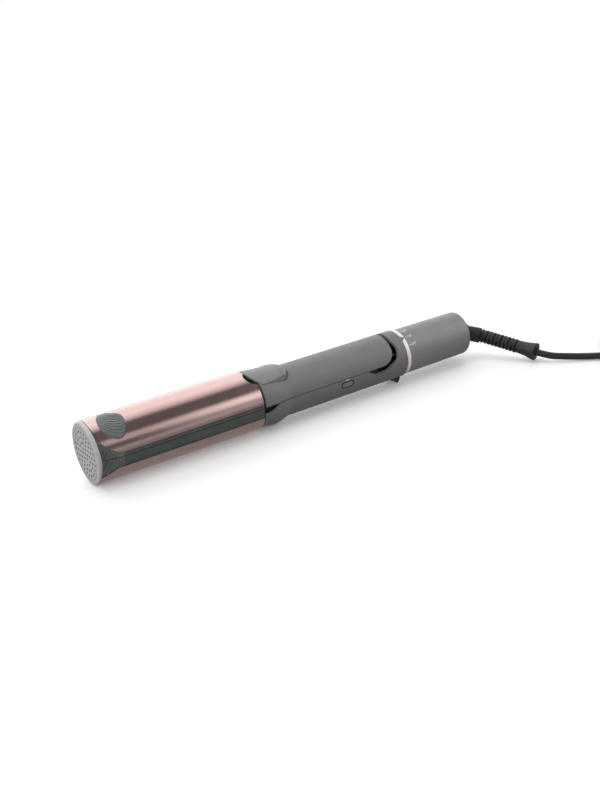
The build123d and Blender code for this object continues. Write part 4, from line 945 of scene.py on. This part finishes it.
# The floor's lift to white: where it starts and ends, and its strength at both
LIFT_FROM, LIFT_TO = 0.25, 1.6
LIFT_NEAR, LIFT_FAR = 0.15, 0.85
# The floor as the rose shells mirror it
MIRRORED_SHADE = 0.30
# The room's light on the tool: what is seen of the room itself is white
ROOM_LIGHT = 0.45

bpy.ops.object.select_all(action="DESELECT")
bpy.ops.mesh.primitive_plane_add(size=FLOOR_SIZE, location=(0, 0, FLOOR_HEIGHT))
floor = bpy.context.object
floor.name = "floor"
floor_paint, tree = start_material("white_floor")
seen = add_node(tree, "ShaderNodeLightPath")
# The floor is lifted to white for the camera alone, and more so further from the tool
where = add_node(tree, "ShaderNodeTexCoord").outputs["Object"]
from_tool = add_node(tree, "ShaderNodeVectorMath", {0: where}, operation="LENGTH")
far = add_node(tree, "ShaderNodeMapRange", {
    "Value": from_tool.outputs["Value"], "From Min": LIFT_FROM, "From Max": LIFT_TO,
    "To Min": LIFT_NEAR, "To Max": LIFT_FAR,
})
lift = add_node(tree, "ShaderNodeEmission", {
    "Color": linear("#ffffff"), "Strength": far.outputs["Result"],
})
dull = add_node(tree, "ShaderNodeBsdfPrincipled", {
    "Base Color": linear("#f4f4f4"), "Roughness": 0.35, "IOR": 1.3,
})
both = add_node(tree, "ShaderNodeAddShader", {0: dull.outputs["BSDF"], 1: lift.outputs["Emission"]})
# What the tool sees of the floor is greyer, so that its underside stays dark, and the floor
# that the rose shells mirror has one even shade
grey_floor = add_node(tree, "ShaderNodeBsdfDiffuse", {"Color": linear("#a8a8a8")})
mirrored_floor = add_node(tree, "ShaderNodeEmission", {
    "Color": linear("#ffffff"), "Strength": MIRRORED_SHADE,
})
reflected = add_node(tree, "ShaderNodeMixShader", {
    0: seen.outputs["Is Glossy Ray"], 1: grey_floor.outputs["BSDF"],
    2: mirrored_floor.outputs["Emission"],
})
choose = add_node(tree, "ShaderNodeMixShader", {
    0: seen.outputs["Is Camera Ray"], 1: reflected.outputs["Shader"], 2: both.outputs["Shader"],
})
add_node(tree, "ShaderNodeOutputMaterial", {"Surface": choose.outputs["Shader"]})
floor.data.materials.append(floor_paint)

world = bpy.data.worlds.new("room")
bpy.context.scene.world = world
world.use_nodes = True
tree = world.node_tree
tree.nodes.clear()
seen = add_node(tree, "ShaderNodeLightPath")
straight = add_node(tree, "ShaderNodeMath", {
    0: seen.outputs["Is Camera Ray"], 1: seen.outputs["Is Glossy Ray"],
}, operation="MAXIMUM")
clear = add_node(tree, "ShaderNodeMath", {
    0: straight.outputs["Value"], 1: seen.outputs["Is Transmission Ray"],
}, operation="MAXIMUM")
strength = add_node(tree, "ShaderNodeMapRange", {
    "Value": clear.outputs["Value"], "To Min": ROOM_LIGHT, "To Max": 1.0,
})
room = add_node(tree, "ShaderNodeBackground", {
    "Color": linear("#ffffff"), "Strength": strength.outputs["Result"],
})
add_node(tree, "ShaderNodeOutputWorld", {"Surface": room.outputs["Background"]})


LAMP_AIM = Vector((0, 0, 0.02))
BACK_SIZE = (2.4, 1.1)
FRONT_SIZE = (1.3, 0.8)
LEFT_SIZE = (0.7, 0.7)
TOP_SIZE = (1.0, 1.0)


def softbox(name, spot, size, watts):
    """A large soft lamp that lights the tool and isn't mirrored in it."""
    data = bpy.data.lights.new(name, "AREA")
    data.shape = "RECTANGLE"
    data.size, data.size_y = size
    data.energy = watts
    lamp = bpy.data.objects.new(name, data)
    bpy.context.scene.collection.objects.link(lamp)
    lamp.location = spot
    lamp.rotation_mode = "QUATERNION"
    lamp.rotation_quaternion = (LAMP_AIM - Vector(spot)).to_track_quat("-Z", "Y")
    lamp.visible_glossy = False


def glow(size, radiance):
    """Watts that give a lamp of this size a radiance, in which 1 is white."""
    return radiance * math.pi * size[0] * size[1]


softbox("back_softbox", (0.1, 0.95, 0.75), BACK_SIZE, glow(BACK_SIZE, 1.35))
softbox("front_softbox", (0.75, -1.15, 0.95), FRONT_SIZE, glow(FRONT_SIZE, 1.2))
softbox("left_softbox", (-1.1, -0.2, 0.55), LEFT_SIZE, 5)
softbox("top_softbox", (0.1, 0.1, 1.2), TOP_SIZE, 4)

# Paper tent that reflections alone see. Its shade goes round the tool from the back horizon
# over the top to the front, and it changes from the tip to the dial.

TENT_RADIUS = 0.9
TENT_LENGTH = 6
TENT_SIDES = 96
TENT_WHITE = 2.0
# Along the tool the tip's shades pass into the rear's, and those into the dial's
REAR_FROM, REAR_TO = 0.20, 0.36
DIAL_FROM, DIAL_TO = 0.44, 0.56
# Each stop is an angle in degrees and a shade, in which 1 is white. The tip's last stop is the
# thin dark line where the paper meets the floor.
TIP_SHADES = (
    (0, 1.6), (20, 1.42), (66, 1.40), (84, 0.90), (98, 0.16), (132, 0.15), (139, 0.58), (149, 0.58),
    (155, 0.12), (166, 0.13), (172, 0.40), (180, 0.52), (180, 0.16),
)
REAR_SHADES = (
    (0, 1.7), (20, 1.48), (66, 1.45), (84, 1.00), (102, 0.14), (131, 0.13), (140, 0.95), (146, 1.45),
    (156, 1.35), (163, 0.66), (170, 0.50), (180, 0.60),
)
DIAL_SHADES = (
    (0, 1.5), (40, 0.8), (60, 0.15), (94, 0.15), (106, 2.0), (138, 2.0), (152, 1.3), (180, 0.8),
)


def tent_shades(tree, turned, shades):
    """One run of the tent's shades by the angle round the tool."""
    ramp = add_node(tree, "ShaderNodeValToRGB", {"Fac": turned})
    stops = ramp.color_ramp.elements
    while len(stops) < len(shades):
        stops.new(1.0)
    for stop, (degrees_round, shade) in zip(stops, shades):
        level = shade / TENT_WHITE
        stop.position = degrees_round / 180
        stop.color = (level, level, level, 1)
    return ramp.outputs["Color"]


bpy.ops.object.select_all(action="DESELECT")
bpy.ops.mesh.primitive_cylinder_add(
    vertices=TENT_SIDES, radius=TENT_RADIUS, depth=TENT_LENGTH, end_fill_type="NOTHING",
    rotation=(0, math.pi / 2, 0),
)
tent = bpy.context.object
tent.name = "paper_tent"
settle(tent)
for kind_of_ray in ("camera", "diffuse", "shadow", "transmission", "volume_scatter"):
    setattr(tent, f"visible_{kind_of_ray}", False)
tent_paper, tree = start_material("tent_paper")
where = add_node(tree, "ShaderNodeSeparateXYZ", {
    "Vector": add_node(tree, "ShaderNodeTexCoord").outputs["Object"],
})
angle_round = add_node(tree, "ShaderNodeMath", {
    0: where.outputs["Z"], 1: where.outputs["Y"],
}, operation="ARCTAN2")
half_turns = add_node(tree, "ShaderNodeMath", {
    0: angle_round.outputs["Value"], 1: math.pi,
}, operation="DIVIDE")
turned = half_turns.outputs["Value"]
to_rear = add_node(tree, "ShaderNodeMapRange", {
    "Value": where.outputs["X"], "From Min": REAR_FROM, "From Max": REAR_TO,
})
to_dial = add_node(tree, "ShaderNodeMapRange", {
    "Value": where.outputs["X"], "From Min": DIAL_FROM, "From Max": DIAL_TO,
})
tip_to_rear = add_node(tree, "ShaderNodeMixRGB", {
    "Fac": to_rear.outputs["Result"],
    "Color1": tent_shades(tree, turned, TIP_SHADES),
    "Color2": tent_shades(tree, turned, REAR_SHADES),
})
rear_to_dial = add_node(tree, "ShaderNodeMixRGB", {
    "Fac": to_dial.outputs["Result"],
    "Color1": tip_to_rear.outputs["Color"],
    "Color2": tent_shades(tree, turned, DIAL_SHADES),
})
paper = add_node(tree, "ShaderNodeEmission", {
    "Color": rear_to_dial.outputs["Color"], "Strength": TENT_WHITE,
})
add_node(tree, "ShaderNodeOutputMaterial", {"Surface": paper.outputs["Emission"]})
tent.data.materials.append(tent_paper)

bpy.context.scene.view_settings.view_transform = "Standard"
